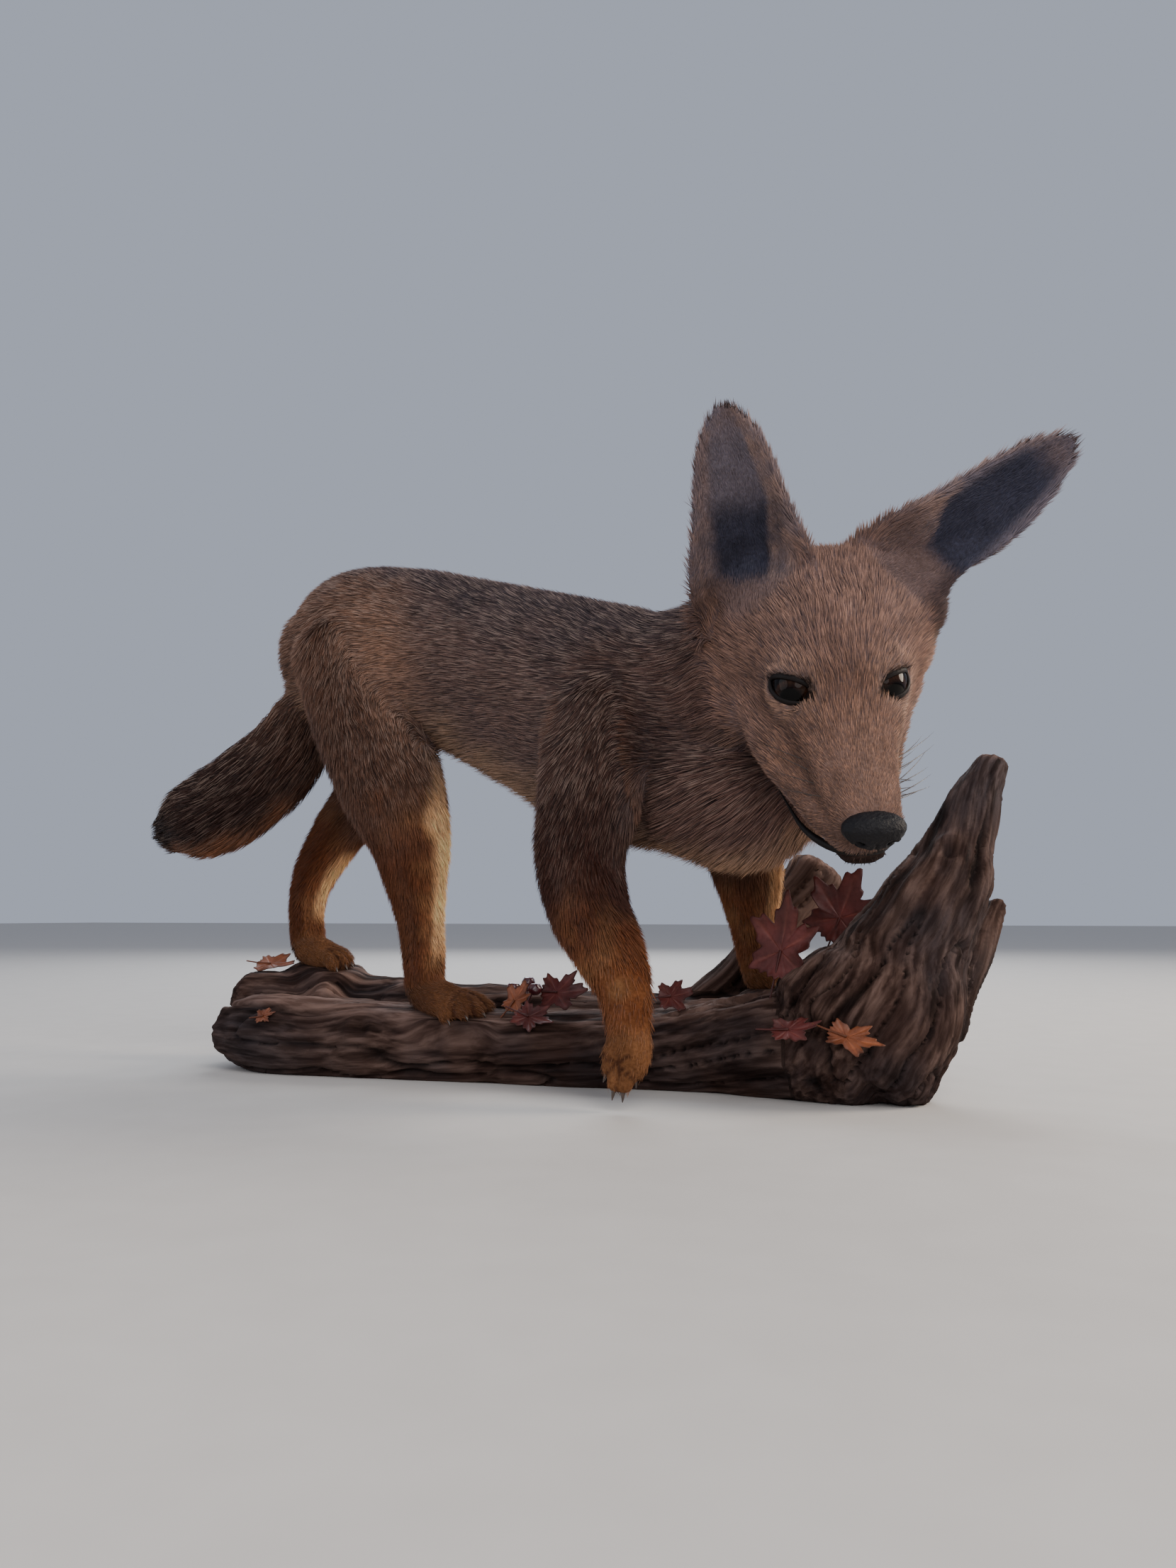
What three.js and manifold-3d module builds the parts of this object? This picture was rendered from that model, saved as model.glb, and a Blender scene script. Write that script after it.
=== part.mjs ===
// A mounted young coyote that walks down off a piece of driftwood, head turned to its right.
// Millimetres, +Z up. +X runs along the driftwood towards the animal's front, +Y to its left.
// The origin is on the flat underside of the driftwood, about the middle of its footprint.
import * as THREE from "three";
import { mergeVertices } from "three/addons/utils/BufferGeometryUtils.js";
import Module from "manifold-3d";

const wasm = await Module();
wasm.setup();

const GAP = 0.35; // clearance left between neighbouring solids
const LEFT = new THREE.Vector3(0, 1, 0);
const UP = new THREE.Vector3(0, 0, 1);

const COLOURS = {
  coat: 0x8c7a66,
  pale: 0xb9a88e,
  leg: 0xb07c42,
  dark: 0x1c1a1c,
  wood: 0x5a4b43,
  leaf: 0x7a2c22,
  berry: 0x3a1418,
};

// ---------------------------------------------------------------- shape tools

const vec = (p) => new THREE.Vector3(...p);
const rad = THREE.MathUtils.degToRad;
const mix = THREE.MathUtils.lerp;

// A closed skin through rings of equal length, with a single point at each end.
function skinOver(rings, firstPole, lastPole) {
  const sides = rings[0].length;
  const points = [firstPole, ...rings.flat(), lastPole];
  const last = points.length - 1;
  const faces = [];
  const at = (ring, k) => 1 + ring * sides + (k % sides);
  for (let k = 0; k < sides; k++) {
    faces.push(0, at(0, k + 1), at(0, k));
    faces.push(last, at(rings.length - 1, k), at(rings.length - 1, k + 1));
    for (let ring = 0; ring < rings.length - 1; ring++) {
      faces.push(at(ring, k), at(ring, k + 1), at(ring + 1, k));
      faces.push(at(ring, k + 1), at(ring + 1, k + 1), at(ring + 1, k));
    }
  }
  const geometry = new THREE.BufferGeometry();
  const places = points.flatMap((p) => [p.x, p.y, p.z]);
  geometry.setAttribute("position", new THREE.Float32BufferAttribute(places, 3));
  geometry.setIndex(faces);
  return geometry;
}

// A rounded body along a smooth line. Each station is { at, wide, deep }: a centre and two half sizes,
// wide along `side` and deep across it. `relief(along, angle)` scales the section, `grow` thickens it, `cap`
// is how far the ends bulge, and `domes` says where their rings lie, as shares of the bulge.
function sweep(stations, options = {}) {
  const { sides = 12, steps = 10, side = LEFT, grow = 0, relief = () => 1 } = options;
  const { cap = 0.8, domes = [0.8, 0.45] } = options;
  const line = new THREE.CatmullRomCurve3(stations.map((s) => vec(s.at)), false, "centripetal");
  const sizes = new THREE.CatmullRomCurve3(stations.map((s) => new THREE.Vector3(s.wide, s.deep, 0)));
  const ringAt = (t, push, shrink) => {
    const tangent = line.getTangent(t);
    const across = side.clone().addScaledVector(tangent, -side.dot(tangent)).normalize();
    const over = tangent.clone().cross(across);
    const centre = line.getPoint(t).addScaledVector(tangent, push);
    const size = sizes.getPoint(t);
    return Array.from({ length: sides }, (_, k) => {
      const angle = (2 * Math.PI * k) / sides;
      const scale = shrink * relief(t, angle);
      return centre
        .clone()
        .addScaledVector(across, (size.x * scale + grow) * Math.cos(angle))
        .addScaledVector(over, (size.y * scale + grow) * Math.sin(angle));
    });
  };
  const capAt = (t) => cap * Math.min(sizes.getPoint(t).x, sizes.getPoint(t).y) + grow;
  const rings = domes.map((s) => ringAt(0, -s * capAt(0), Math.sqrt(1 - s * s)));
  for (let i = 0; i <= steps; i++) rings.push(ringAt(i / steps, 0, 1));
  [...domes].reverse().forEach((s) => rings.push(ringAt(1, s * capAt(1), Math.sqrt(1 - s * s))));
  const pole = (t, push) => line.getPoint(t).addScaledVector(line.getTangent(t), push);
  return skinOver(rings, pole(0, -capAt(0)), pole(1, capAt(1)));
}

// A geometry as a manifold-3d solid, and back.
function solid(geometry) {
  const bare = geometry.clone();
  bare.deleteAttribute("normal");
  bare.deleteAttribute("uv");
  const merged = mergeVertices(bare, 1e-3);
  const mesh = new wasm.Mesh({
    numProp: 3,
    vertProperties: new Float32Array(merged.attributes.position.array),
    triVerts: new Uint32Array(merged.index.array),
  });
  const made = new wasm.Manifold(mesh);
  if (made.volume() < 0) throw new Error("a geometry is inside out");
  return made;
}

function geometryOf(made) {
  const mesh = made.getMesh();
  const geometry = new THREE.BufferGeometry();
  geometry.setAttribute("position", new THREE.BufferAttribute(new Float32Array(mesh.vertProperties), 3));
  geometry.setIndex(new THREE.BufferAttribute(new Uint32Array(mesh.triVerts), 1));
  return geometry;
}

const joined = (...geometries) => geometries.map(solid).reduce((all, one) => all.add(one));
const biggest = (made) => made.decompose().sort((a, b) => b.volume() - a.volume())[0];
// The biggest body of a solid. Merging its close points can pinch off a crumb, which is left out as well.
const largest = (made) => biggest(solid(geometryOf(biggest(made))));

// An ellipsoid with half sizes along X, Y and Z.
function ellipsoid(centre, sizes, grow = 0) {
  const ball = new THREE.SphereGeometry(1, 11, 7);
  ball.scale(sizes[0] + grow, sizes[1] + grow, sizes[2] + grow);
  return ball.translate(...centre);
}

// ---------------------------------------------------------------- trunk, neck and tail

const TRUNK = [
  { at: [-186, 22, 246], wide: 24, deep: 32 },
  { at: [-162, 18, 249], wide: 38, deep: 48 },
  { at: [-120, 10, 242], wide: 41, deep: 52 },
  { at: [-70, 2, 228], wide: 41, deep: 52 },
  { at: [-20, -7, 208], wide: 43, deep: 57 },
  { at: [30, -18, 186], wide: 44, deep: 62 },
  { at: [72, -28, 172], wide: 34, deep: 56 },
];
const trunk = (grow) => solid(sweep(TRUNK, { sides: 16, steps: 10, grow }));

// The neck, and the ruff of long fur that hangs from it between the forelegs.
const NECK = [
  { at: [35, -16, 200], wide: 35, deep: 44 },
  { at: [75, -29, 195], wide: 34, deep: 51 },
  { at: [112, -44, 202], wide: 34, deep: 47 },
  { at: [136, -53, 213], wide: 32, deep: 38 },
];
const RUFF = [
  { at: [74, -34, 152], wide: 31, deep: 40 },
  { at: [100, -41, 143], wide: 30, deep: 36 },
  { at: [124, -46, 146], wide: 24, deep: 25 },
];
const neck = (grow) =>
  joined(sweep(NECK, { sides: 14, steps: 5, grow }), sweep(RUFF, { sides: 10, steps: 3, grow }));

const TAIL = [
  { at: [-184, 22, 256], wide: 14, deep: 17 },
  { at: [-192, 23, 221], wide: 17, deep: 22 },
  { at: [-208, 23, 191], wide: 20, deep: 27 },
  { at: [-234, 20, 167], wide: 23, deep: 29 },
  { at: [-258, 16, 152], wide: 23, deep: 29 },
  { at: [-277, 13, 144], wide: 20, deep: 25 },
  { at: [-291, 10, 138], wide: 12, deep: 16 },
];
const tail = (grow) => solid(sweep(TAIL, { sides: 12, steps: 8, grow }));

// ---------------------------------------------------------------- legs and feet

const LEGS = {
  hind_right: [
    { at: [-150, -8, 246], wide: 22, deep: 34 },
    { at: [-129, -14, 198], wide: 24, deep: 33 },
    { at: [-109, -18, 156], wide: 21, deep: 31 },
    { at: [-100, -16, 130], wide: 17, deep: 25 },
    { at: [-97, -13, 106], wide: 14, deep: 19 },
    { at: [-95, -11, 86], wide: 12.5, deep: 14.5 },
    { at: [-92, -12, 66], wide: 12, deep: 13 },
    { at: [-90, -14, 52], wide: 12, deep: 12 },
  ],
  hind_left: [
    { at: [-160, 42, 240], wide: 22, deep: 34 },
    { at: [-153, 48, 198], wide: 22, deep: 31 },
    { at: [-168, 50, 164], wide: 18, deep: 22 },
    { at: [-188, 50, 140], wide: 15, deep: 18 },
    { at: [-204, 47, 112], wide: 13, deep: 14.5 },
    { at: [-207, 44, 92], wide: 12, deep: 12 },
    { at: [-203, 39, 72], wide: 12, deep: 11.5 },
  ],
  front_right: [
    { at: [30, -48, 190], wide: 18, deep: 34 },
    { at: [24, -56, 150], wide: 19, deep: 28 },
    { at: [17, -54, 116], wide: 17, deep: 23.5 },
    { at: [23, -57, 90], wide: 16, deep: 21 },
    { at: [35, -63, 71], wide: 14.5, deep: 18 },
    { at: [45, -69, 52], wide: 13, deep: 14.5 },
    { at: [49, -74, 34], wide: 12.5, deep: 11.5 },
  ],
  front_left: [
    { at: [66, 10, 176], wide: 17, deep: 30 },
    { at: [77, 18, 138], wide: 17, deep: 25 },
    { at: [81, 24, 108], wide: 16, deep: 19 },
    { at: [82, 30, 84], wide: 13, deep: 13.5 },
    { at: [85, 32, 60], wide: 12, deep: 11 },
  ],
};
const leg = (name, grow) => solid(sweep(LEGS[name], { sides: 10, steps: 10, grow, domes: [0.7] }));

// A foot spreads from its ankle to four toes with a blunt claw each. `tips` are the pads' foremost points.
const FEET = {
  hind_right: { ankle: [-89, -14, 46], tips: [[-70, -26, 34], [-61, -25, 36], [-55, -18, 37], [-54, -9, 38]] },
  hind_left: { ankle: [-200, 38, 67], tips: [[-173, 24, 57], [-171, 30, 58], [-172, 37, 59], [-176, 44, 60]] },
  front_right: { ankle: [49, -74, 30], tips: [[40, -76, 18], [44, -79, 11.5], [48, -79, 11], [52, -76, 17]] },
  front_left: { ankle: [85, 32, 58], tips: [[94, 22, 53], [98, 28, 53], [99, 35, 53], [98, 42, 53]] },
};
const TOE = 5.2; // half height of a toe
const CLAW = { long: 4.4, thick: 1.8, drop: 2.2 };
function foot(name, grow) {
  const { ankle, tips } = FEET[name];
  const from = vec(ankle);
  const middle = tips.map(vec).reduce((sum, p) => sum.add(p), new THREE.Vector3()).divideScalar(tips.length);
  const side = vec(tips[3]).sub(vec(tips[0])).normalize();
  const pad = [
    { at: from.toArray(), wide: 11.5, deep: 11 },
    { at: from.clone().lerp(middle, 0.45).toArray(), wide: 13, deep: 9.5 },
    { at: from.clone().lerp(middle, 0.8).toArray(), wide: 11.5, deep: 7 },
  ];
  const toes = tips.map((tip) => {
    const end = vec(tip);
    const knuckle = from.clone().lerp(end, 0.55).addScaledVector(UP, 2);
    const stations = [
      { at: knuckle.toArray(), wide: TOE, deep: TOE },
      { at: end.toArray(), wide: TOE * 0.9, deep: TOE * 0.85 },
    ];
    return sweep(stations, { sides: 6, steps: 1, side, grow, domes: [0.5] });
  });
  const claws = tips.map((tip) => {
    const end = vec(tip);
    const ahead = end.clone().sub(from).normalize();
    const point = end.clone().addScaledVector(ahead, CLAW.long).addScaledVector(UP, -CLAW.drop);
    const stations = [
      { at: end.toArray(), wide: CLAW.thick, deep: CLAW.thick },
      { at: point.toArray(), wide: CLAW.thick * 0.4, deep: CLAW.thick * 0.4 },
    ];
    return sweep(stations, { sides: 4, steps: 1, side, grow, domes: [] });
  });
  return joined(sweep(pad, { sides: 8, steps: 2, side, grow, domes: [0.6] }), ...toes, ...claws);
}

// ---------------------------------------------------------------- head

const HEAD_AT = [149, -83, 190]; // midway between the eyes
const HEAD_TURN = -68.6; // degrees about +Z, from +X
const HEAD_DROP = 48; // degrees the muzzle points below level
const HEAD_ROLL = 4; // degrees the left side is raised

const headPlace = new THREE.Matrix4()
  .makeTranslation(...HEAD_AT)
  .multiply(new THREE.Matrix4().makeRotationZ(rad(HEAD_TURN)))
  .multiply(new THREE.Matrix4().makeRotationY(rad(HEAD_DROP)))
  .multiply(new THREE.Matrix4().makeRotationX(rad(HEAD_ROLL)));

// Along the head's own forward axis, from the nape to just behind the nose: half width, top and bottom.
const HEAD_SECTIONS = [
  { x: -66, half: 34, top: 16, bottom: -40 },
  { x: -54, half: 46, top: 29, bottom: -51 },
  { x: -40, half: 50, top: 35.5, bottom: -54 },
  { x: -27, half: 45.5, top: 34.5, bottom: -49 },
  { x: -12, half: 36, top: 31, bottom: -45 },
  { x: 3, half: 30, top: 20.5, bottom: -38.5 },
  { x: 18, half: 26.5, top: 8, bottom: -34 },
  { x: 36, half: 21.5, top: 2, bottom: -30 },
  { x: 56, half: 18.5, top: -2, bottom: -27 },
  { x: 75, half: 15.5, top: -5.5, bottom: -25.5 },
];
const HEAD = HEAD_SECTIONS.map((s) => ({
  at: [s.x, 0, (s.top + s.bottom) / 2],
  wide: s.half,
  deep: (s.top - s.bottom) / 2,
}));
// The lower cheeks and the upper lips hang wider than the bridge above them, and fuller on the right.
const LIPS = [
  { at: [-28, -2, -26], wide: 46, deep: 27 },
  { at: [-10, -4, -26.5], wide: 40, deep: 22.5 },
  { at: [13, -5.5, -27], wide: 34.5, deep: 17.5 },
  { at: [32, -5, -27], wide: 29, deep: 14 },
  { at: [44, -4.5, -26.5], wide: 25, deep: 12.5 },
  { at: [60, -3.5, -25], wide: 20.5, deep: 11 },
  { at: [72, -1.5, -22.5], wide: 16.5, deep: 10 },
];
const NOSE = { at: [82, 0, -14], sizes: [8, 13.5, 8] };
const EYE = { at: [3, 17.5, -3], radius: 11.4 };
const JAW = [
  { at: [-8, -2, -43], wide: 26, deep: 13 },
  { at: [24, -2.5, -41], wide: 21, deep: 10 },
  { at: [50, -2, -38], wide: 17, deep: 8.5 },
  { at: [72, -0.5, -35], wide: 13, deep: 6.5 },
];

// Cheeks swell and the hollows in front of the eyes sink, alike on both sides. `along` and `spread` are shares
// of the head length, `turn` is degrees above its widest line, and `rise` is a share of its half width.
const FACE_FORMS = [
  { along: 0.27, spread: 0.14, turn: -28, rise: 0.03 },
  { along: 0.6, spread: 0.07, turn: 30, rise: -0.09 },
];
function faceRelief(t, angle) {
  const swell = FACE_FORMS.map(({ along, spread, turn, rise }) => {
    const near = Math.exp(-(((t - along) / spread) ** 2));
    const facing = (a) => Math.pow(Math.max(0, Math.cos(angle - a)), 5);
    return rise * near * (facing(rad(turn)) + facing(Math.PI - rad(turn)));
  });
  return 1 + swell[0] + swell[1];
}
function head(grow) {
  const skull = sweep(HEAD, { sides: 16, steps: 11, cap: 0.55, relief: faceRelief, grow });
  const lips = sweep(LIPS, { sides: 12, steps: 5, grow });
  return joined(skull.applyMatrix4(headPlace), lips.applyMatrix4(headPlace));
}
const jaw = (grow) => solid(sweep(JAW, { sides: 10, steps: 4, grow }).applyMatrix4(headPlace));
const nose = (grow) => solid(ellipsoid(NOSE.at, NOSE.sizes, grow).applyMatrix4(headPlace));
function eye(mirror, grow) {
  const [x, y, z] = EYE.at;
  const size = EYE.radius;
  return solid(ellipsoid([x, mirror * y, z], [size, size, size], grow).applyMatrix4(headPlace));
}

// An ear is a cupped leaf. It runs from `root` along `aim` and opens towards `face`.
const EARS = {
  right: { root: [-36, -33, 14], aim: [-0.42, -0.14, 0.9], face: [0.82, -0.35, 0.36], long: 88, broad: 27 },
  left: { root: [-37, 25, 17], aim: [-0.35, 0.81, 0.49], face: [0.75, -0.05, 0.6], long: 103, broad: 23 },
};
const EAR_THICK = 5;
function ear(which, grow) {
  const { root, aim, face, long, broad } = EARS[which];
  const rows = 8;
  const columns = 6;
  const along = vec(aim).normalize();
  const open = vec(face).addScaledVector(along, -vec(face).dot(along)).normalize();
  const across = along.clone().cross(open);
  const flare = (t) => 1 + 0.18 * Math.max(0, 1 - t / 0.45); // its base is broader
  const halfAt = (t) => broad * flare(t) * Math.pow(1 - Math.pow(t, 2.2), 0.6);
  const rings = [];
  for (let i = 0; i < rows; i++) {
    const t = (i / (rows - 1)) * 0.985;
    const curl = mix(1.15, 0.5, t); // radians of half arc
    const radius = (halfAt(t) + grow) / Math.sin(curl);
    const place = vec(root).addScaledVector(along, long * t);
    const shell = (k, out) => {
      const angle = curl * (2 * (k / columns) - 1);
      const edge = Math.abs(2 * (k / columns) - 1);
      const skin = (EAR_THICK / 2) * (1 - 0.45 * edge * edge) * (1 - 0.5 * t) + grow;
      return place
        .clone()
        .addScaledVector(across, (radius + out * skin) * Math.sin(angle))
        .addScaledVector(open, radius * Math.cos(curl) - (radius + out * skin) * Math.cos(angle));
    };
    const ring = [];
    for (let k = columns; k >= 0; k--) ring.push(shell(k, 1));
    for (let k = 0; k <= columns; k++) ring.push(shell(k, -1));
    rings.push(ring);
  }
  const middle = (ring) => ring.reduce((sum, p) => sum.add(p), new THREE.Vector3()).divideScalar(ring.length);
  const top = middle(rings[rows - 1]).addScaledVector(along, 1.5 + grow);
  return solid(skinOver(rings, middle(rings[0]), top).applyMatrix4(headPlace));
}

// ---------------------------------------------------------------- driftwood

// One weathered root stock: two ridges along its length, a core between them, and three broken limbs.
const WOOD = {
  near_ridge: [
    { at: [-214, -15, 22], wide: 14, deep: 17 },
    { at: [-180, -20, 20], wide: 18, deep: 22 },
    { at: [-100, -12, 17], wide: 18, deep: 20 },
    { at: [-20, -6, 16], wide: 19, deep: 20 },
    { at: [50, 2, 18], wide: 20, deep: 21 },
    { at: [104, -4, 24], wide: 24, deep: 27 },
    { at: [142, -10, 26], wide: 26, deep: 30 },
  ],
  far_ridge: [
    { at: [-232, 20, 36], wide: 15, deep: 18 },
    { at: [-181, 34, 30], wide: 20, deep: 22 },
    { at: [-73, 38, 26], wide: 22, deep: 21 },
    { at: [34, 46, 24], wide: 22, deep: 20 },
    { at: [96, 44, 24], wide: 24, deep: 24 },
  ],
  core: [
    { at: [-212, 6, 20], wide: 24, deep: 20 },
    { at: [-100, 14, 16], wide: 30, deep: 20 },
    { at: [0, 20, 15], wide: 34, deep: 20 },
    { at: [100, 18, 20], wide: 36, deep: 26 },
    { at: [148, 0, 22], wide: 30, deep: 28 },
  ],
  main_limb: [
    { at: [138, -8, 28], wide: 32, deep: 44 },
    { at: [157, -2, 52], wide: 28, deep: 36 },
    { at: [164, 2, 70], wide: 24, deep: 29 },
    { at: [174, 6, 90], wide: 20, deep: 24 },
    { at: [183, 12, 107], wide: 17, deep: 21 },
    { at: [189, 19, 124], wide: 14, deep: 16 },
    { at: [196, 25, 142], wide: 12, deep: 13 },
    { at: [204, 29, 162], wide: 8, deep: 8 },
  ],
  rear_limb: [
    { at: [45, 50, 28], wide: 18, deep: 16 },
    { at: [68, 58, 52], wide: 15, deep: 13 },
    { at: [91, 70, 84], wide: 14, deep: 15 },
    { at: [108, 80, 110], wide: 12, deep: 16 },
  ],
  spur: [
    { at: [182, 4, 34], wide: 10, deep: 7 },
    { at: [191, 20, 56], wide: 8, deep: 5.5 },
    { at: [198, 36, 76], wide: 7, deep: 5 },
    { at: [204, 47, 93], wide: 5.5, deep: 5 },
  ],
};
const GRAIN = { depth: 0.06, count: 4 }; // long shallow furrows
function driftwood(grow) {
  const furrow = (t, angle) => 1 + GRAIN.depth * Math.sin(GRAIN.count * angle + 3 * t);
  const limbs = Object.values(WOOD).map((stations) =>
    sweep(stations, { sides: 11, steps: 6, grow, relief: furrow, cap: 0.5, domes: [] }),
  );
  const below = new THREE.BoxGeometry(800, 400, 100).translate(0, 0, -50);
  return joined(...limbs).subtract(solid(below));
}

// ---------------------------------------------------------------- leaves and berries

// A dry leaf with pointed lobes. `tip` is the way its longest lobe points, and `bend` cups it.
const LEAVES = [
  { at: [-224, 30, 60], face: [0.1, -0.4, 0.9], tip: [1, 0.2, 0], long: 19, broad: 15, bend: 0.25 },
  { at: [-178, -37, 32], face: [0, -0.9, 0.4], tip: [1, 0, 0.3], long: 9, broad: 6, bend: 0.1 },
  { at: [-20, 5, 46], face: [0.1, -0.8, 0.6], tip: [1, 0, 0.1], long: 20, broad: 17, bend: 0.3 },
  { at: [-38, -11, 43], face: [-0.2, -0.8, 0.5], tip: [0.2, -0.2, 1], long: 14, broad: 12, bend: 0.2 },
  { at: [-26, -20, 36], face: [0.1, -0.7, 0.7], tip: [1, 0, -0.4], long: 17, broad: 13, bend: 0.3 },
  { at: [46, -3, 47], face: [0.1, -0.8, 0.5], tip: [1, 0, 0.3], long: 14, broad: 13, bend: 0.25 },
  { at: [106, -14, 70], face: [-0.1, -1, 0.1], tip: [0.2, 0, 1], long: 31, broad: 23, bend: 0.3 },
  { at: [129, 22, 86], face: [-0.1, -1, 0.1], tip: [0.4, 0, 1], long: 30, broad: 27, bend: 0.2 },
  { at: [114, -40, 36], face: [0, -0.8, 0.5], tip: [1, 0, 0.1], long: 18, broad: 9, bend: 0.4 },
  { at: [141, -44, 34], face: [0, -0.8, 0.5], tip: [1, 0, -0.4], long: 20, broad: 10, bend: 0.4 },
];
const LEAF_THICK = 1.4;
const LOBES = 5;
function leaf({ at, face, tip, long, broad, bend }) {
  const points = LOBES * 2;
  const normal = vec(face).normalize();
  const ahead = vec(tip).addScaledVector(normal, -vec(tip).dot(normal)).normalize();
  const across = normal.clone().cross(ahead);
  const spot = (angle, reach, lift) => {
    const a = reach * long * Math.cos(angle);
    const b = reach * broad * Math.sin(angle);
    const cupped = bend * (a * a + b * b) / long;
    return vec(at).addScaledVector(ahead, a).addScaledVector(across, b).addScaledVector(normal, lift + cupped);
  };
  const ring = (lift) =>
    Array.from({ length: points }, (_, k) => spot((2 * Math.PI * k) / points, k % 2 ? 0.62 : 1, lift));
  return solid(skinOver([ring(0), ring(LEAF_THICK)], spot(0, 0, 0), spot(0, 0, LEAF_THICK)));
}

const BERRIES = [[-44, 2, 48], [-37, 6, 51], [-31, 1, 48]];
const BERRY_RADIUS = 3.6;
const berry = (centre) => solid(new THREE.SphereGeometry(BERRY_RADIUS, 7, 5).translate(...centre));

// ---------------------------------------------------------------- assembly

const part = new THREE.Group();
const rooms = []; // what is already placed, each grown by the gap

// Cuts a piece clear of all that is already placed, and adds it under its name.
function place(name, make, colour, roughness = 0.9) {
  const cut = rooms.reduce((left, room) => left.subtract(room), make(0));
  const material = new THREE.MeshStandardMaterial({ color: COLOURS[colour], roughness, metalness: 0 });
  const mesh = new THREE.Mesh(geometryOf(largest(cut)), material);
  mesh.name = name;
  part.add(mesh);
  rooms.push(make(GAP));
}

place("driftwood", driftwood, "wood");
place("eye_left", (grow) => eye(1, grow), "dark", 0.1);
place("eye_right", (grow) => eye(-1, grow), "dark", 0.1);
place("nose", nose, "dark", 0.4);
place("head", head, "coat");
place("lower_jaw", jaw, "pale");
place("trunk", trunk, "coat");
place("neck", neck, "coat");
place("tail", tail, "coat");
for (const side of ["left", "right"]) place(`ear_${side}`, (grow) => ear(side, grow), "coat");
for (const name of Object.keys(FEET)) place(`foot_${name}`, (grow) => foot(name, grow), "leg");
for (const name of Object.keys(LEGS)) place(`leg_${name}`, (grow) => leg(name, grow), "leg");
LEAVES.forEach((one, k) => place(`leaf_${k + 1}`, () => leaf(one), "leaf", 0.7));
BERRIES.forEach((centre, k) => place(`berry_${k + 1}`, () => berry(centre), "berry", 0.25));

export default part;
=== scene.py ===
"""The look of a mounted young coyote on driftwood: one skin, a coat of mesh tufts, and its mount.

Sizes are in millimetres in the tables below and in metres in Blender. +X runs to the animal's front,
+Y to its left and +Z up, as in the frame.
"""

import bpy
import numpy as np
from mathutils import Matrix


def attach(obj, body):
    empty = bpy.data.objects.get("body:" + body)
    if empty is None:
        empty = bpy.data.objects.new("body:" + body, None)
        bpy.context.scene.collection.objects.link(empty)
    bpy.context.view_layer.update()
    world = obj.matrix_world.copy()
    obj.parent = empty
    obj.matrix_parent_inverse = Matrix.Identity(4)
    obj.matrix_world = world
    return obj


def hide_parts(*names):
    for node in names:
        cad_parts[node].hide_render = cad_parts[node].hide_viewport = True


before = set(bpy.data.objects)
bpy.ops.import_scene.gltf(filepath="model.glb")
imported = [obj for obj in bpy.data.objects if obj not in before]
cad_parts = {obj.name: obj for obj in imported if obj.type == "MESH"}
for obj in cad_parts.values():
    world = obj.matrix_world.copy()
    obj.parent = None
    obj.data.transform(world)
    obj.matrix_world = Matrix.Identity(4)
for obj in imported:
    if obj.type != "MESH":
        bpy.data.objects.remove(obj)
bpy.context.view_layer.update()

MM = 0.001
RANDOM = np.random.default_rng(11)
LEFT = np.array([0.0, 1.0, 0.0])
UP = np.array([0.0, 0.0, 1.0])
PLACES_AT_A_TIME = 4000
TRIANGLES_IN_A_PIECE = 190000
HASH_PRIMES = np.array([73856093, 19349663, 83492791])

# ---- number tools


def length(v):
    return np.linalg.norm(v, axis=-1)


def dots(a, b):
    return np.einsum("ij,ij->i", a, b)


def unit(v):
    return v / np.maximum(length(v)[..., None], 1e-9)


def ramp(x, low, high):
    """0 below low, 1 above high, and smooth between them. low may be the larger one."""
    t = np.clip((x - low) / (high - low), 0, 1)
    return t * t * (3 - 2 * t)


def blob(p, centre, sizes):
    """1 at the centre, falling softly to 0 a size or two away."""
    return np.exp(-np.sum(((p - np.asarray(centre)) / np.asarray(sizes)) ** 2, axis=1))


def blend(a, b, share):
    share = np.asarray(share)[..., None]
    return np.asarray(a) * (1 - share) + np.asarray(b) * share


def layered(base, *layers):
    """The base with each tone blended over it in turn, by its own share."""
    for tone, share in layers:
        base = blend(base, tone, share)
    return base


def noise(p, scale, seed=0):
    """Smooth value noise from -1 to 1 with features about `scale` across."""
    q = np.asarray(p, float) / scale + 512.0
    cell = np.floor(q).astype(np.int64)
    f = q - cell
    f = f * f * (3 - 2 * f)
    total = np.zeros(len(q))
    for corner in np.ndindex(2, 2, 2):
        n = (cell + corner) @ HASH_PRIMES + seed * 15485863
        for shift, factor in ((13, 1274126177), (15, 2246822519)):
            n = ((n ^ (n >> shift)) * factor) & 0xFFFFFFFF
        share = np.prod(np.where(corner, f, 1 - f), axis=1)
        total += share * (n / 2147483648.0 - 1)
    return total


def noise_vectors(p, scale, seed=0):
    return np.stack([noise(p, scale, seed + k) for k in range(3)], axis=1)


def smooth_rows(rows, count):
    """`count` rows on a smooth curve through the given ones. Their first three numbers are a place."""
    rows = np.asarray(rows, float)
    gaps = length(np.diff(rows[:, :3], axis=0))
    knots = np.concatenate([[0], np.cumsum(np.sqrt(gaps))])
    slopes = np.gradient(rows, knots, axis=0)
    t = np.linspace(0, knots[-1], count)
    k = np.clip(np.searchsorted(knots, t, side="right") - 1, 0, len(rows) - 2)
    span = (knots[k + 1] - knots[k])[:, None]
    u = (t - knots[k])[:, None] / span
    here = (2 * u**3 - 3 * u**2 + 1) * rows[k] + (u**3 - 2 * u**2 + u) * span * slopes[k]
    there = (3 * u**2 - 2 * u**3) * rows[k + 1] + (u**3 - u**2) * span * slopes[k + 1]
    return here + there


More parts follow.
